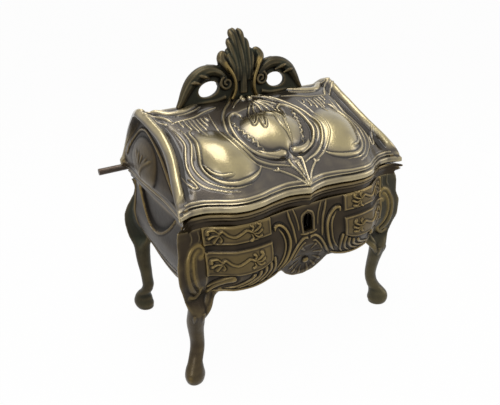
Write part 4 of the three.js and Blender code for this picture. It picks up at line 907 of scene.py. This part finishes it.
def front_casting():
    def place(x, z):
        return np.stack([x, front_face(x, z), z], axis=-1)

    along, z, points = panel_points(400, 150, POST_X + 1.2, APRON_FRONT, place)
    relief = Relief(np.abs(along), z)
    drawer(relief, [(20, 85.6), (58, 85.2)], [(20, 97), (58, 97)], 23.5)
    drawer(relief, [(20, 76), (25, 70.6), (31, 68.2), (40, 67.4), (58, 68.2)], [(20, 82.2), (58, 82.4)], 23.6)
    drawer_pull(relief, 89.6)
    drawer_pull(relief, 74.2)
    stroke = relief.stroke
    # C scrolls beside the cartouche, and the finer line that goes with each
    stroke([(21.2, 86.6, 1.2), (20.8, 88.7, 1.1), (18.4, 88.9), (15.2, 86.4), (13, 82.4), (12.2, 77.6), (13.2, 71.6),
            (15.6, 66), (19, 61.4, 0.8)], 1.0, 1.25, 0.7, 0.4)
    stroke([(18.6, 86.4), (16.2, 82.6), (15.2, 77.8), (16, 71.8), (18.2, 67), (21.4, 63)], 0.6, 0.7, 0.5)
    # cartouche with the keyhole
    stroke([(12.6, 95), (11.4, 90), (9.8, 85), (8.9, 79), (8.6, 75.5)], 0.75, 0.8, 0.5)
    stroke([(9.4, 95.2), (7.4, 90), (6.4, 85.4), (6.2, 82)], 0.55, 0.6, 0.4)
    stroke([(3.7, 80.2, 1.1), (3.9, 84), (4.1, 87.2), (3.2, 90.2), (0, 91.9)], 0.6, 0.6, 0.25, 0.4, (0.9, 1))
    stroke([(0, 79.2), (2.4, 79.1), (5.4, 79.9)], 0.6, 0.6, 0.5)
    stroke([(0.8, 76, 0.8), (1.8, 77.2), (4.2, 76.9), (7.4, 74.2), (10.4, 69.6), (13, 65), (15.8, 61.2)],
           0.85, 1.0, 0.5)
    stroke([(2.2, 74.2), (4.4, 73.6), (7.4, 70.2), (10, 65.6)], 0.55, 0.6, 0.45)
    # shell with a bead, hanging in the middle
    relief.boss((0, 62.5), (9, 9.5), -1.0, 0.0)
    relief.boss((0, 60.9), (2.1, 2.1), 2.2, 1.0)
    for path in ([(1.6, 57.8), (2.6, 54.6), (3, 52)], [(3.6, 59.4), (6, 56.4), (7.8, 54.2)],
                 [(4.2, 62.4), (7.6, 60.2), (10.6, 58)], [(3.6, 65.8), (7, 65.2), (9.6, 64.6)],
                 [(1.8, 68.4), (3.8, 70.4), (5, 71.6)]):
        stroke(growing(path, 0.6, 0.35), 0.8, 0.4, 0.0, 0.5)
    # gadroons that fan out of the apron beside the shell, and the long lines under the drawers
    for path in ([(22.6, 72), (21.8, 67), (22.8, 62), (25.4, 58.4)], [(25, 70), (24.6, 66), (26.6, 61.2), (30.6, 57.8)],
                 [(27.6, 68), (28, 64.4), (31.4, 60.2), (37, 57.6)], [(30.8, 66.4), (32, 63), (36.6, 59.9), (43.4, 58)],
                 [(34.4, 65.4), (36.6, 62.6), (42.2, 60.2), (49.4, 58.6)]):
        stroke(growing(path, 1.25, -0.2), 0.85, 1.0, 0.6, 0.45, (0.8, 0.35))
    stroke([(16.8, 61), (22.5, 58.2), (30, 56.4), (40, 56.3), (49, 57.2), (56.6, 56)], 0.85, 0.9, 0.65)
    stroke([(57, 56.2, 0.7), (54, 60.4), (50.2, 63.6, 1.2), (46.2, 65.3, 1.6)], 1.35, 1.6, 0.8, 0.5, (0.8, 0.9))
    stroke([(57, 60.4, 0.7), (53.4, 63.5), (49.6, 66, 1.1), (45.8, 67, 0.9)], 0.95, 1.2, 0.7, 0.5, (0.8, 0.8))
    height = relief.height() * np.clip((PANEL_TOP - z) / 0.8, 0.3, 1)
    # the panel's ends lap over the legs by a hair
    lap = 0.12 * np.clip(np.abs(along) - POST_X + 0.6, 0, 0.6) / 0.6
    points[..., 1] = np.maximum(points[..., 1] - 0.9 * height - lap, APRON_LIMIT_Y)
    _, _, plain = panel_points(64, 24, POST_X + 1.2, APRON_FRONT, place)
    plain[..., 1] += WALL
    lock_seat = block((-14, -50.4, 75), (14, -47.9, PANEL_TOP))
    parts = [walled("Front_casting", points, plain, 0.75 * relief.polish), lock_seat]
    for part in parts:
        cut_away(part, [block((-KEYHOLE_HALF, KEYHOLE_FROM_Y, KEYHOLE_LOW), (KEYHOLE_HALF, KEYHOLE_TO_Y, KEYHOLE_EYE)),
                        drum(KEYHOLE_HALF, KEYHOLE_FROM_Y, KEYHOLE_TO_Y, (0, 0, KEYHOLE_EYE), "Y")])
    panel = join("Front_casting", parts)
    rub(panel, broad=70, fine=9)
    return panel


def side_casting(side):
    along, z, points = panel_points(110, 70, POST_Y - 0.3, APRON_SIDE,
                                    lambda y, z: np.stack([side * side_face(y, z), y, z], axis=-1))
    relief = Relief(np.abs(along), z)
    for path, width, height, shine in (
            ([(y, shield_top(y) - 1.3) for y in (0, 5, 10, 15, 20, 24, 27)], 0.75, 0.5, 0.5),
            ([(0, 56.4), (10, 57), (20, 59.4), (29, 61.4), (38, 62)], 0.7, 0.6, 0.35),
            ([(0, 51.4), (10, 52), (20, 54.6), (29, 56.6), (38, 56.8)], 0.8, 0.5, 0.3),
            ([(34.4, 64), (34.2, 75), (34.6, 86), (35, 96)], 0.6, 0.5, 0.3)):
        relief.stroke(path, width, height, shine, 0.5, (1, 1))
    return raise_sheet("Side_casting_" + hand(side), points, relief.height(), (side, 0, 0), relief.polish)


def back_casting():
    along, z, points = panel_points(140, 60, POST_X - 0.3, APRON_BACK,
                                    lambda x, z: np.stack([x, back_face(z), z], axis=-1))
    relief = Relief(np.abs(along), z)
    relief.stroke([(0, 59.4), (20, 58), (40, 58), (52, 58.2), (53.4, 62), (53.4, 88), (52, 91.6), (40, 92), (0, 92)],
                  0.7, 0.5, 0.3, 0.5, (1, 1))
    return raise_sheet("Back_casting", points, 0.5 * relief.height(), (0, 1, 0), relief.polish)


# ---------------------------------------------------------------- rim frame

# height over the rim's lower edge, and inset from the lid's outline
RIM_PROFILE = [(0, 1.8), (0.8, 1.7), (1.7, 1.6), (2.3, 1.4), (2.7, 1.0), (3.1, 0.7), (3.6, 0.4), (4.0, 0.45),
               (4.3, 0.8), (4.6, 0.7), (4.9, 0.15), (5.3, 0.0), (5.9, 0.08), (6.3, 0.5)]
RIM_BACK_Y, RIM_INNER_FRONT_Y, RIM_INNER_BACK_Y = 42.5, -39, 37


def rim_ring():
    """Rows of points round the rim, with the outline's place beside the one on the inner edge for each of them"""
    front_y, back_x = float(RIM_FRONT(LID_HALF)), float(RIM_SIDE(RIM_BACK_Y))

    def end(side, t):
        y = mix(front_y, RIM_BACK_Y, t)
        return (side * float(RIM_SIDE(y)), y), (side * POST_X, mix(RIM_INNER_FRONT_Y, RIM_INNER_BACK_Y, t))

    pairs = [((x, float(RIM_FRONT(abs(x)))), (x * POST_X / LID_HALF, RIM_INNER_FRONT_Y))
             for x in np.linspace(-LID_HALF, LID_HALF, 161)[:-1]]
    pairs += [end(1, t) for t in np.linspace(0, 1, 61)[:-1]]
    pairs += [((back_x * t, RIM_BACK_Y), (POST_X * t, RIM_INNER_BACK_Y)) for t in np.linspace(1, -1, 61)[:-1]]
    pairs += [end(-1, t) for t in np.linspace(1, 0, 61)]
    rows = []
    for height, inset in RIM_PROFILE:
        row = []
        for (outer_x, outer_y), (inner_x, inner_y) in pairs:
            # below the lip, the front corners are cut back to the posts
            corner = math.exp(-(math.hypot(abs(outer_x) - LID_HALF, outer_y - front_y) / 6) ** 2)
            share = inset * (1 + 1.8 * corner) / math.hypot(inner_x - outer_x, inner_y - outer_y)
            row.append((mix(outer_x, inner_x, share), mix(outer_y, inner_y, share), RIM_BOTTOM + height))
        rows.append(row)
    rows += [[(*inner, z) for _, inner in pairs] for z in (RIM_TOP, RIM_BOTTOM)]
    return np.array([*rows, rows[0]])


def rim_casting():
    ring = grid_sheet("Rim_casting", rim_ring())
    edit(ring, WELD, FACE_OUT)
    bolt_slot = block((-2.4, -44.8, 90), (2.4, -39.9, 105))
    cut_away(ring, [bolt_slot, *knuckle_gaps(LID_KNUCKLES, 3.75)])
    rub(ring, broad=12, fine=4, gain=(0.9, 1.4))
    # painted shade: the rim's lower part, in the shadow of the lid's lip, keeps none of its rubbed brightness and stays
    # dark
    height = places(ring)[:, 2] - RIM_BOTTOM
    scale_store(ring, "rubbed", np.clip((height - 2.6) / 1.2, 0, 1))
    parts = [ring]
    for start, end in BODY_KNUCKLES:
        lug = block((start, 40.6, HINGE[2] - 3.1), (end, HINGE[1] - 2.6, HINGE[2]))
        rub(lug, broad=2, fine=1)
        parts += [lug, knuckle(start, end)]
    return join("Rim_casting", parts)


# ---------------------------------------------------------------- legs

HALF_ROOT = math.sqrt(0.5)
POST_CORNERS, CORNER_STEPS, POST_STARTS = 12, 4, 45.5


def post_section(tip_x, face, side_end):
    """Corners of the case's corner post: the leg's tip, the front face, the inside and the side face"""
    tip_y = LEG_DIAGONAL - tip_x
    return [(tip_x, tip_y), (mix(tip_x, POST_X, 0.25), mix(tip_y, face, 0.3)),
            (mix(tip_x, POST_X, 0.6), mix(tip_y, face, 0.9)), (POST_X, face),
            (POST_X, min(face + WALL + 1.2, -POST_Y - 0.6)), (POST_X + 2.6, -POST_Y - 0.9),
            (side_end - WALL - 1, -POST_Y), (side_end - WALL + 0.6, -POST_Y), (side_end, -POST_Y),
            (mix(tip_x, side_end, 0.7), mix(tip_y, -POST_Y, 0.6)),
            (mix(tip_x, side_end, 0.25), mix(tip_y, -POST_Y, 0.3)), (tip_x - 0.1, mix(tip_y, -POST_Y, 0.1))]


def leg_loop(z, tip_at, face_y):
    """Section of the front right leg at a height: round below the case, with the case's corner post above"""
    tip_x = float(tip_at(z))
    depth, width, slide = (float(curve(z)) for curve in (LEG_THICKNESS, LEG_WIDTH, LEG_SLIDE))
    centre = (tip_x - depth * HALF_ROOT, LEG_DIAGONAL - tip_x + depth * HALF_ROOT)
    post = post_section(tip_x, face_y(z), float(side_face(POST_Y, z)))
    share = float(ease((z - POST_STARTS) / 10))
    loop = []
    for k in range(POST_CORNERS * CORNER_STEPS + 1):
        turn = 2 * math.pi * k / (POST_CORNERS * CORNER_STEPS)
        out, front = depth * math.cos(turn), width * math.sin(turn) + slide
        round_x = centre[0] + HALF_ROOT * out - HALF_ROOT * front
        round_y = centre[1] - HALF_ROOT * out - HALF_ROOT * front
        a, b = post[(k // CORNER_STEPS) % POST_CORNERS], post[(k // CORNER_STEPS + 1) % POST_CORNERS]
        t = k % CORNER_STEPS / CORNER_STEPS
        loop.append((mix(round_x, mix(a[0], b[0], t), share), mix(round_y, mix(a[1], b[1], t), share), z))
    return loop


def leg_front_y(x, z, tip_at, face_y):
    """The corner post's front face, between the leg's tip and the front panel"""
    tip_x, face = float(tip_at(z)), face_y(z)
    tip_y = LEG_DIAGONAL - tip_x
    xs = [POST_X, mix(tip_x, POST_X, 0.6), mix(tip_x, POST_X, 0.25), tip_x]
    ys = [face, mix(tip_y, face, 0.9), mix(tip_y, face, 0.3), tip_y]
    return float(np.interp(x, xs, ys))


def leg_leaf(tip_at, across, top, low, radius):
    """Leaf that laps over the leg below the knee, at an angle across from its edge"""
    path = []
    for z in np.linspace(top, low, 5):
        depth, width, slide = (float(curve(z)) for curve in (LEG_THICKNESS, LEG_WIDTH, LEG_SLIDE))
        out = depth * math.cos(across * 1.4) - 0.9
        along = (width - 0.7) * math.sin(across * 1.4) - slide
        x = float(tip_at(z)) - depth * HALF_ROOT + HALF_ROOT * (out + along)
        path.append((x, LEG_DIAGONAL - x + math.sqrt(2) * along, z))
    return rod(path, [radius, radius * 1.1, radius, radius * 0.8, 0.5])


# lines of the corner stile as x and z, the radii of the bar along each, and how deep it sinks in
STILE_SCROLLS = [
    ([(60.2, 80.2), (58.6, 81), (58, 83.4), (59.2, 85.8), (61.6, 86.4), (64.6, 84.6), (67, 80), (68, 74),
      (67.4, 67.6), (65.8, 62), (63, 57.6)], [0.6, 0.75, 0.85, 0.95, 1.0, 1.0, 1.0, 1.05, 1.3, 1.9, 1.3], 0.3),
    ([(61, 84), (63.4, 81.6), (64.6, 77), (64.6, 71), (63.4, 65), (61.4, 60)], [0.4, 0.6, 0.75, 0.8, 0.75, 0.4], 0.15),
    ([(60.4, 60.4), (61.8, 57.4), (64.6, 55.6), (67, 56.6)], [0.8, 1.5, 1.6, 0.8], 0.4)]
STILE_LINES = [([(60, 94), (59.6, 90), (60.8, 87.6)], [0.4, 0.6, 0.4], 0.15),
               ([(64, 94), (63.6, 90.4), (65, 87.6)], [0.4, 0.6, 0.4], 0.15)]
LEG_HEIGHTS = np.concatenate([np.linspace(0.5, 54.5, 74), np.linspace(55.5, PANEL_TOP, 54)])
LEG_LIMIT_X = 74.7


def leg_casting(name, side, back):
    tip_at = LEG_TIP_BACK if back else LEG_TIP_FRONT
    face_y = (lambda z: -float(back_face(z))) if back else (lambda z: float(front_face(POST_X, z)))
    loops = [leg_loop(z, tip_at, face_y) for z in LEG_HEIGHTS]
    foot = np.array(leg_loop(0.0, tip_at, face_y))
    middle = foot[:-1].mean(axis=0)
    under = (foot - middle) * (0.9, 0.9, 1) + middle
    post = grid_sheet(name, np.array([under.tolist(), *loops]))
    edit(post, WELD, (bpy.ops.mesh.fill_holes, {"sides": 0}), FACE_OUT)
    parts, bright = [post], []

    def on_face(path, radii, sink):
        points = [(x, leg_front_y(x, z, tip_at, face_y) + sink, z) for x, z in path]
        parts.append(rod(points, radii))
        return flowing(points, LINE_STEPS)

    def flank(z, x_off, y_off):
        """A place beside the leg's outermost line towards the front"""
        loop = np.array(loops[int(np.argmin(np.abs(LEG_HEIGHTS - z)))])
        x, y = loop[np.argmax(-loop[:, 0] - loop[:, 1])][:2]
        return float(x) + x_off, float(y) + y_off, z

    if not back:
        for scroll in STILE_SCROLLS:
            bright.extend(on_face(*scroll))
        for line in STILE_LINES:
            on_face(*line)
    parts += [leg_leaf(tip_at, -0.1, 46.5, 39.6, 1.3), leg_leaf(tip_at, -0.8, 46.5, 38.6, 1.5)]
    if not back:
        # leaf that runs from the apron's end down the front flank, as a small bracket
        root = (POST_X - 7, float(front_face(POST_X - 7, 59)) + 1.2, 59)
        edge = [root, flank(53, -3.6, 0.8), flank(48, -1.8, 0.8), flank(44, -0.2, 0.9), flank(40, 1, 1)]
        parts.append(rod(edge, [1.2, 1.9, 1.9, 1.5, 0.7]))
        parts.append(rod([flank(58, -3, 1.4), flank(54, -1.2, 1), flank(49, 0, 1), flank(44, 1, 1)],
                         [1.8, 2.2, 2.0, 1.2]))
        bright.extend(flowing(edge[:4], LINE_STEPS))
    # painted highlight: a gold spot on the toe, where a glint falls
    bright.extend([(float(tip_at(z)) - 0.8, LEG_DIAGONAL - float(tip_at(z)) + 0.8, z) for z in (4.6, 6.2)])
    leg = cast_together(name, parts, voxel=0.5, smoothing=3)
    place = places(leg)
    store(leg, "polish", 0.7 * np.clip(1.7 - nearest(place, bright) / 1.3, 0, 1))
    # the sole is flat, the top meets the rim and the knee keeps inside the solid leg
    place[:, 2] = np.where(place[:, 2] < 0.25, np.maximum(place[:, 2], 0), place[:, 2])
    place[:, 2] = np.minimum(place[:, 2], PANEL_TOP)
    place[:, 0] = np.minimum(place[:, 0], LEG_LIMIT_X)
    set_points(leg, metres(place * (side, -1 if back else 1, 1)))
    edit(leg, FACE_OUT)
    rub(leg, broad=22, fine=5, gain=(1.3, 2.4))
    return leg


def nearest(place, line):
    """Distance of each place to the nearest point of a line"""
    return np.min([np.linalg.norm(place - point, axis=1) for point in line], axis=0)


# ---------------------------------------------------------------- crest

CREST_OUTLINE = [(41.5, 139), (38.6, 143), (36.3, 147.4), (34, 151.6), (30.6, 156), (26.4, 159.2), (21, 160.8),
                 (16.6, 160.2), (14.4, 159.4), (14.3, 162.6), (12.4, 165.4), (9.4, 165.3), (6.6, 166.4)]
CREST_TOP = 180
HOLE_CENTRE, HOLE_RADII, HOLE_TILT = (22.2, 147.5), (6.5, 4.3), -0.2


def leaning(points):
    """Points as x, depth and height, set on the crest's own plane, which leans back above its scrolls"""
    return [(x, RIDGE_Y - 0.7 + 0.34 * max(0.0, z - 158) + y, z) for x, y, z in points]


def crest_plate():
    """Flat plate between the crest's scrolls, with its two oval holes"""
    data = bpy.data.curves.new("plate", "CURVE")
    data.dimensions = "2D"
    data.fill_mode = "BOTH"
    data.extrude = 0.0014
    outline = [(-x, z) for x, z in CREST_OUTLINE] + CREST_OUTLINE[::-1] + [(20, 137.6), (-20, 137.6)]
    loops = [outline]
    for side in (-1, 1):
        c, s = math.cos(side * HOLE_TILT), math.sin(side * HOLE_TILT)
        round_hole = [(HOLE_RADII[0] * math.cos(a), HOLE_RADII[1] * math.sin(a))
                      for a in np.linspace(0, 2 * math.pi, 32, endpoint=False)]
        loops.append([(side * HOLE_CENTRE[0] + u * c - v * s, HOLE_CENTRE[1] + u * s + v * c) for u, v in round_hole])
    for loop in loops:
        draw_line(data, [(x / 1000, z / 1000, 0) for x, z in loop], closed=True)
    plate = curve_mesh(data)
    points = [(x, -y, z) for x, z, y in vectors(plate.data.vertices) * 1000]
    set_points(plate, metres(leaning(points)))
    edit(plate, WELD, FACE_OUT)
    return plate


# bars of the crest's right half as x, depth and height, with the radii along each
CREST_BARS = [
    # scroll round the oval hole
    ([(41, 0, 139.4), (38.6, 0, 143), (35.4, 0, 148.4), (31.6, 0, 153), (26.4, 0, 156.4), (20.8, 0, 157.4),
      (15.8, 0, 156), (12.2, 0, 153), (10.4, -0.2, 149.6), (11.6, -0.4, 147)],
     [1.6, 2.2, 3.0, 3.6, 3.7, 3.4, 3.0, 2.6, 2.4, 2.0]),
    # eye that its end rolls into, on the front and on the back
    *[([(11.4 + r * math.cos(a), face * 2.3, 149.8 + r * math.sin(a))
        for a, r in zip(np.linspace(1.2, -8.2, 22), np.linspace(3.9, 0.5, 22))], [1.0] * 22) for face in (-1, 1)],
    # leaf that winds round the scroll, and the ragged leaf edge outside it
    ([(21.4, -2.0, 153.4), (25.8, -3.3, 155.4), (29.6, -2.6, 156.2)], [0.5, 1.3, 0.6]),
    ([(27, -2.6, 151), (30.8, -3.3, 152.6), (34, -2.4, 152.4)], [0.5, 1.3, 0.6]),
    ([(38.2, 0, 141), (37.9, 0, 145), (36, -0.6, 148)], [1.1, 1.3, 0.6]),
    ([(35.6, 0, 146.4), (35.8, 0, 150), (33.6, -0.8, 152.8)], [1.1, 1.3, 0.6]),
    ([(32.2, 0, 152), (32, 0, 155.4), (29.2, -0.6, 157.4)], [1.1, 1.3, 0.6]),
    # foot of the plate, and the lobe on the scroll's shoulder
    ([(33, 0, 141), (26, -0.4, 140.6), (18, -0.6, 140.6), (12, -0.8, 142)], [1.2, 1.6, 1.7, 1.6]),
    ([(8.4, -1.6, 155.6), (11, -1.4, 159.4), (12.6, -0.8, 162.4), (11, -0.2, 165.2), (8.4, 0, 164)],
     [1.5, 2.2, 2.6, 2.1, 1.4]),
    # stem that sweeps down from the shoulder on to the lid
    ([(11, -3, 160.4), (8.6, -3.4, 156), (6.6, -3.6, 151.6), (6, -3.4, 147), (6.8, -2.9, 143), (8.2, -2.2, 140.2)],
     [0.8, 1.1, 1.0, 1.0, 0.95, 0.9]),
    # folds of the finial's leaf; each ends in a lobe that curls back
    *[([(foot, -0.6, 150), (foot + 0.3 * (spread - foot), -1.0, 157), (spread, -0.9, top - 6),
        (spread + 0.5, 0.2, top - 2.2), (spread - 0.4, 1.8, top - 0.6)], [r, r, r, r * 0.9, r * 0.6])
      for foot, spread, top, r in ((2.0, 2.6, 177.4, 2.0), (3.6, 4.8, 172.6, 2.1), (5.2, 6.8, 167.4, 1.9))],
    ([(2.2, 1.4, 150), (3.6, 1.6, 158), (4.2, 1.6, 166), (2.2, 1.8, 173)], [2.2, 2.4, 2.2, 1.4])]
SHOULDER, STEM = CREST_BARS[9:11]
FINIAL = ([(0, -0.4, 143), (0, -0.6, 152), (0, -0.8, 162), (-0.4, -0.6, 170), (-0.9, 0.4, 175.4), (-1.4, 1.6, 177.4)],
          [3.0, 2.8, 2.6, 2.4, 2.0, 1.2])


def crest_casting():
    parts, bright = [crest_plate()], []
    for side in (-1, 1):
        for bar in CREST_BARS:
            line = leaning([(side * x, y, z) for x, y, z in bar[0]])
            parts.append(rod(line, bar[1]))
            # both stems and the left shoulder are rubbed
            if bar is STEM or bar is SHOULDER and side < 0:
                bright.extend(flowing(line, LINE_STEPS))
    parts.append(rod(leaning(FINIAL[0]), FINIAL[1]))
    crest = cast_together("Crest_casting", parts, voxel=0.45, smoothing=2)
    place = vectors(crest.data.vertices)
    place[:, 2] = np.minimum(place[:, 2], CREST_TOP / 1000)
    set_points(crest, place)
    edit(crest, FACE_OUT)
    place = places(crest)
    store(crest, "polish", 0.8 * np.clip(1.6 - nearest(place, bright) / 1.6, 0, 1) * (place[:, 1] < RIDGE_Y))
    rub(crest, broad=26, fine=6, gain=(1.2, 2.2))
    return crest


# ---------------------------------------------------------------- lid ends


def lid_rows(side):
    """The lid's rows of one slope, from the lid's edge to the ridge: share, height, lean of its face"""
    rows = LID_FRONT_ROWS if side < 0 else LID_BACK_ROWS[::-1] + [LID_FRONT_ROWS[-1]]
    return [(share, height, (math.pi / 2) * (share ** 0.8 if side < 0 else 1 - share ** 1.6))
            for share, height, _, _ in rows]


def lid_inner_y(x, z, side):
    """Depth of the dome's inner face at a height, on the front slope for side -1 and on the back one for 1"""
    start = (float(LID_FRONT(abs(x))) if side < 0 else lid_back(x)) - side * 1.2
    line = []
    for share, height, lean in lid_rows(side):
        y = mix(start, RIDGE_Y, share) if side < 0 else mix(RIDGE_Y, start, share)
        upright = share == (0 if side < 0 else 1)
        line.append((LID_BOTTOM + height - (0 if upright else math.sin(lean) * WALL), y - side * math.cos(lean) * WALL))
    line.sort()
    return float(np.interp(z, *zip(*line)))


def lid_end_x(y, z):
    height = z - LID_BOTTOM
    bulge = np.maximum(0, 1 - (((y - 3) / 40) ** 2 + ((height - 14) / 22) ** 2))
    lower = LID_SIDE(y) - 0.9 * np.clip((0.5 - height) / 0.5, 0, 1)
    upper = LID_HALF_WIDTH(height) - 2.8 + 3 * bulge
    t = np.clip((height - 3.2) / 1.4, 0, 1)
    return lower * (1 - t) + upper * t


LET_IN = 1.9  # the panel's edge is let into the dome's wall, so no light shows between them
END_TOP = 33.2


def lid_end_casting(side):
    heights = np.concatenate([np.linspace(0, 5, 15)[:-1], np.linspace(5, END_TOP, 53)])
    y = np.array([np.linspace(lid_inner_y(float(lid_end_x(-40.0, z)), z, -1) - LET_IN,
                              lid_inner_y(float(lid_end_x(40.0, z)), z, 1) + LET_IN, 91)
                  for z in LID_BOTTOM + heights])
    z = np.repeat(LID_BOTTOM + heights[:, None], y.shape[1], axis=1)
    points = np.stack([side * lid_end_x(y, z), y, z], axis=-1)
    relief = Relief(y, z)
    relief.boss((5, 116.5), (20, 10.5), 1.7, 0.3, turn=0.2)
    for lean in (-1.0, -0.5, 0.0, 0.5, 1.0):
        s = math.sin(lean)
        relief.stroke([(5 - 2 * s, 108.5), (5 + 5 * s, 115.5), (5 + 14 * s, 120)], 1.1, 0.35, 0.15, 0.4)
    relief.stroke([(-44, 105.6), (-20, 105.4), (10, 105.4), (44, 105.6)], 0.9, 0.7, 0.4, 0.5, (1, 1))
    arch = [(-36, 110), (-28, 116), (-18, 121.4), (-7, 126), (4, 129.6), (13, 131.2), (22, 129), (30, 122), (35, 113)]
    relief.stroke(arch, 0.8, 0.7, 0.35, 0.5, (1, 1))
    # the relief fades out towards the edge that is let in
    height = relief.height() * np.clip((z - LID_BOTTOM - 4) / 2, 0, 1)
    height *= np.clip(np.minimum(y - y[:, :1], y[:, -1:] - y) / 2.5, 0, 1) * np.clip((134.4 - z) / 2, 0, 1)
    return raise_sheet("Lid_end_casting_" + hand(side), points, height, (side, 0, 0), relief.polish)


# ---------------------------------------------------------------- velvet


def cushion(name, nodes, body, seed, puff=0.25):
    """Velvet over thin wadding: the pad's own outline, its edges turned over and its face a little uneven"""
    pads = []
    for node in nodes:
        source = frame["nodes"][node]
        copy = source.copy()
        copy.data = source.data.copy()
        copy.hide_render = copy.hide_viewport = False
        bpy.context.scene.collection.objects.link(copy)
        copy.parent = None
        copy.matrix_world = source.matrix_world
        pads.append(copy)
    pad = join(name, pads)
    settle()
    edit(pad, WELD)
    pad.data.remesh_voxel_size = 0.0009
    bpy.ops.object.voxel_remesh()
    apply(pad, "SMOOTH", factor=0.5, iterations=5)
    rng = np.random.default_rng(seed)
    place = vectors(pad.data.vertices)
    wave = sum(np.sin(place @ rng.normal(0, 260, 3) + rng.uniform(0, 6)) for _ in range(5)) / 5
    set_points(pad, place + vectors(pad.data.vertex_normals, "vector") * (wave * puff / 1000)[:, None])
    dress(pad, body, RED_VELVET, "velvet", *nodes)
    return pad


# ---------------------------------------------------------------- the casket put together

bpy.context.scene.view_settings.view_transform = "Standard"
place_camera()
build_stage()

dress(lid_casting(), "lid", LID_BRASS, "patinated_brass", "lid_dome")
dress(front_casting(), "case", BODY_BRASS, "patinated_brass", "front_panel")
dress(back_casting(), "case", BODY_BRASS, "patinated_brass", "back_panel")
dress(rim_casting(), "case", BODY_BRASS, "patinated_brass", "rim_frame")
dress(crest_casting(), "lid", SHADE_BRASS, "patinated_brass", "crest")
for side in (-1, 1):
    dress(side_casting(side), "case", PAINTED_SHADE_BRASS, "patinated_brass", "side_panel_" + hand(side))
    dress(lid_end_casting(side), "lid", PAINTED_SHADE_BRASS, "patinated_brass", "lid_end_" + hand(side))
    for back, end in ((False, "front"), (True, "back")):
        name = f"leg_{end}_{hand(side)}"
        brass = {"leg_front_left": BODY_BRASS, "leg_back_left": SHADE_BRASS}.get(name, BLOOM_BRASS)
        dress(leg_casting(name.capitalize() + "_casting", side, back), "case", brass, "patinated_brass", name)

cushion("Floor_cushion", ["floor_pad"], "case", 3)
cushion("Wall_lining", [name for name in frame["nodes"] if name.startswith("wall_pad")], "case", 5, 0.1)
cushion("Lid_lining", ["lid_lining"], "lid", 7, 0.2)

NODE_FINISH = {
    "patinated_brass": BODY_BRASS, "steel": LOCK_STEEL, "dark_iron": PIN_STEEL, "velvet": RED_VELVET,
}
slots = {part["node"]: part["material_slot"] for part in frame["record"]["subparts"]}
for name, node in frame["nodes"].items():
    if node.hide_render:
        continue
    node.data.materials.clear()
    node.data.materials.append(NODE_FINISH[slots[name]])
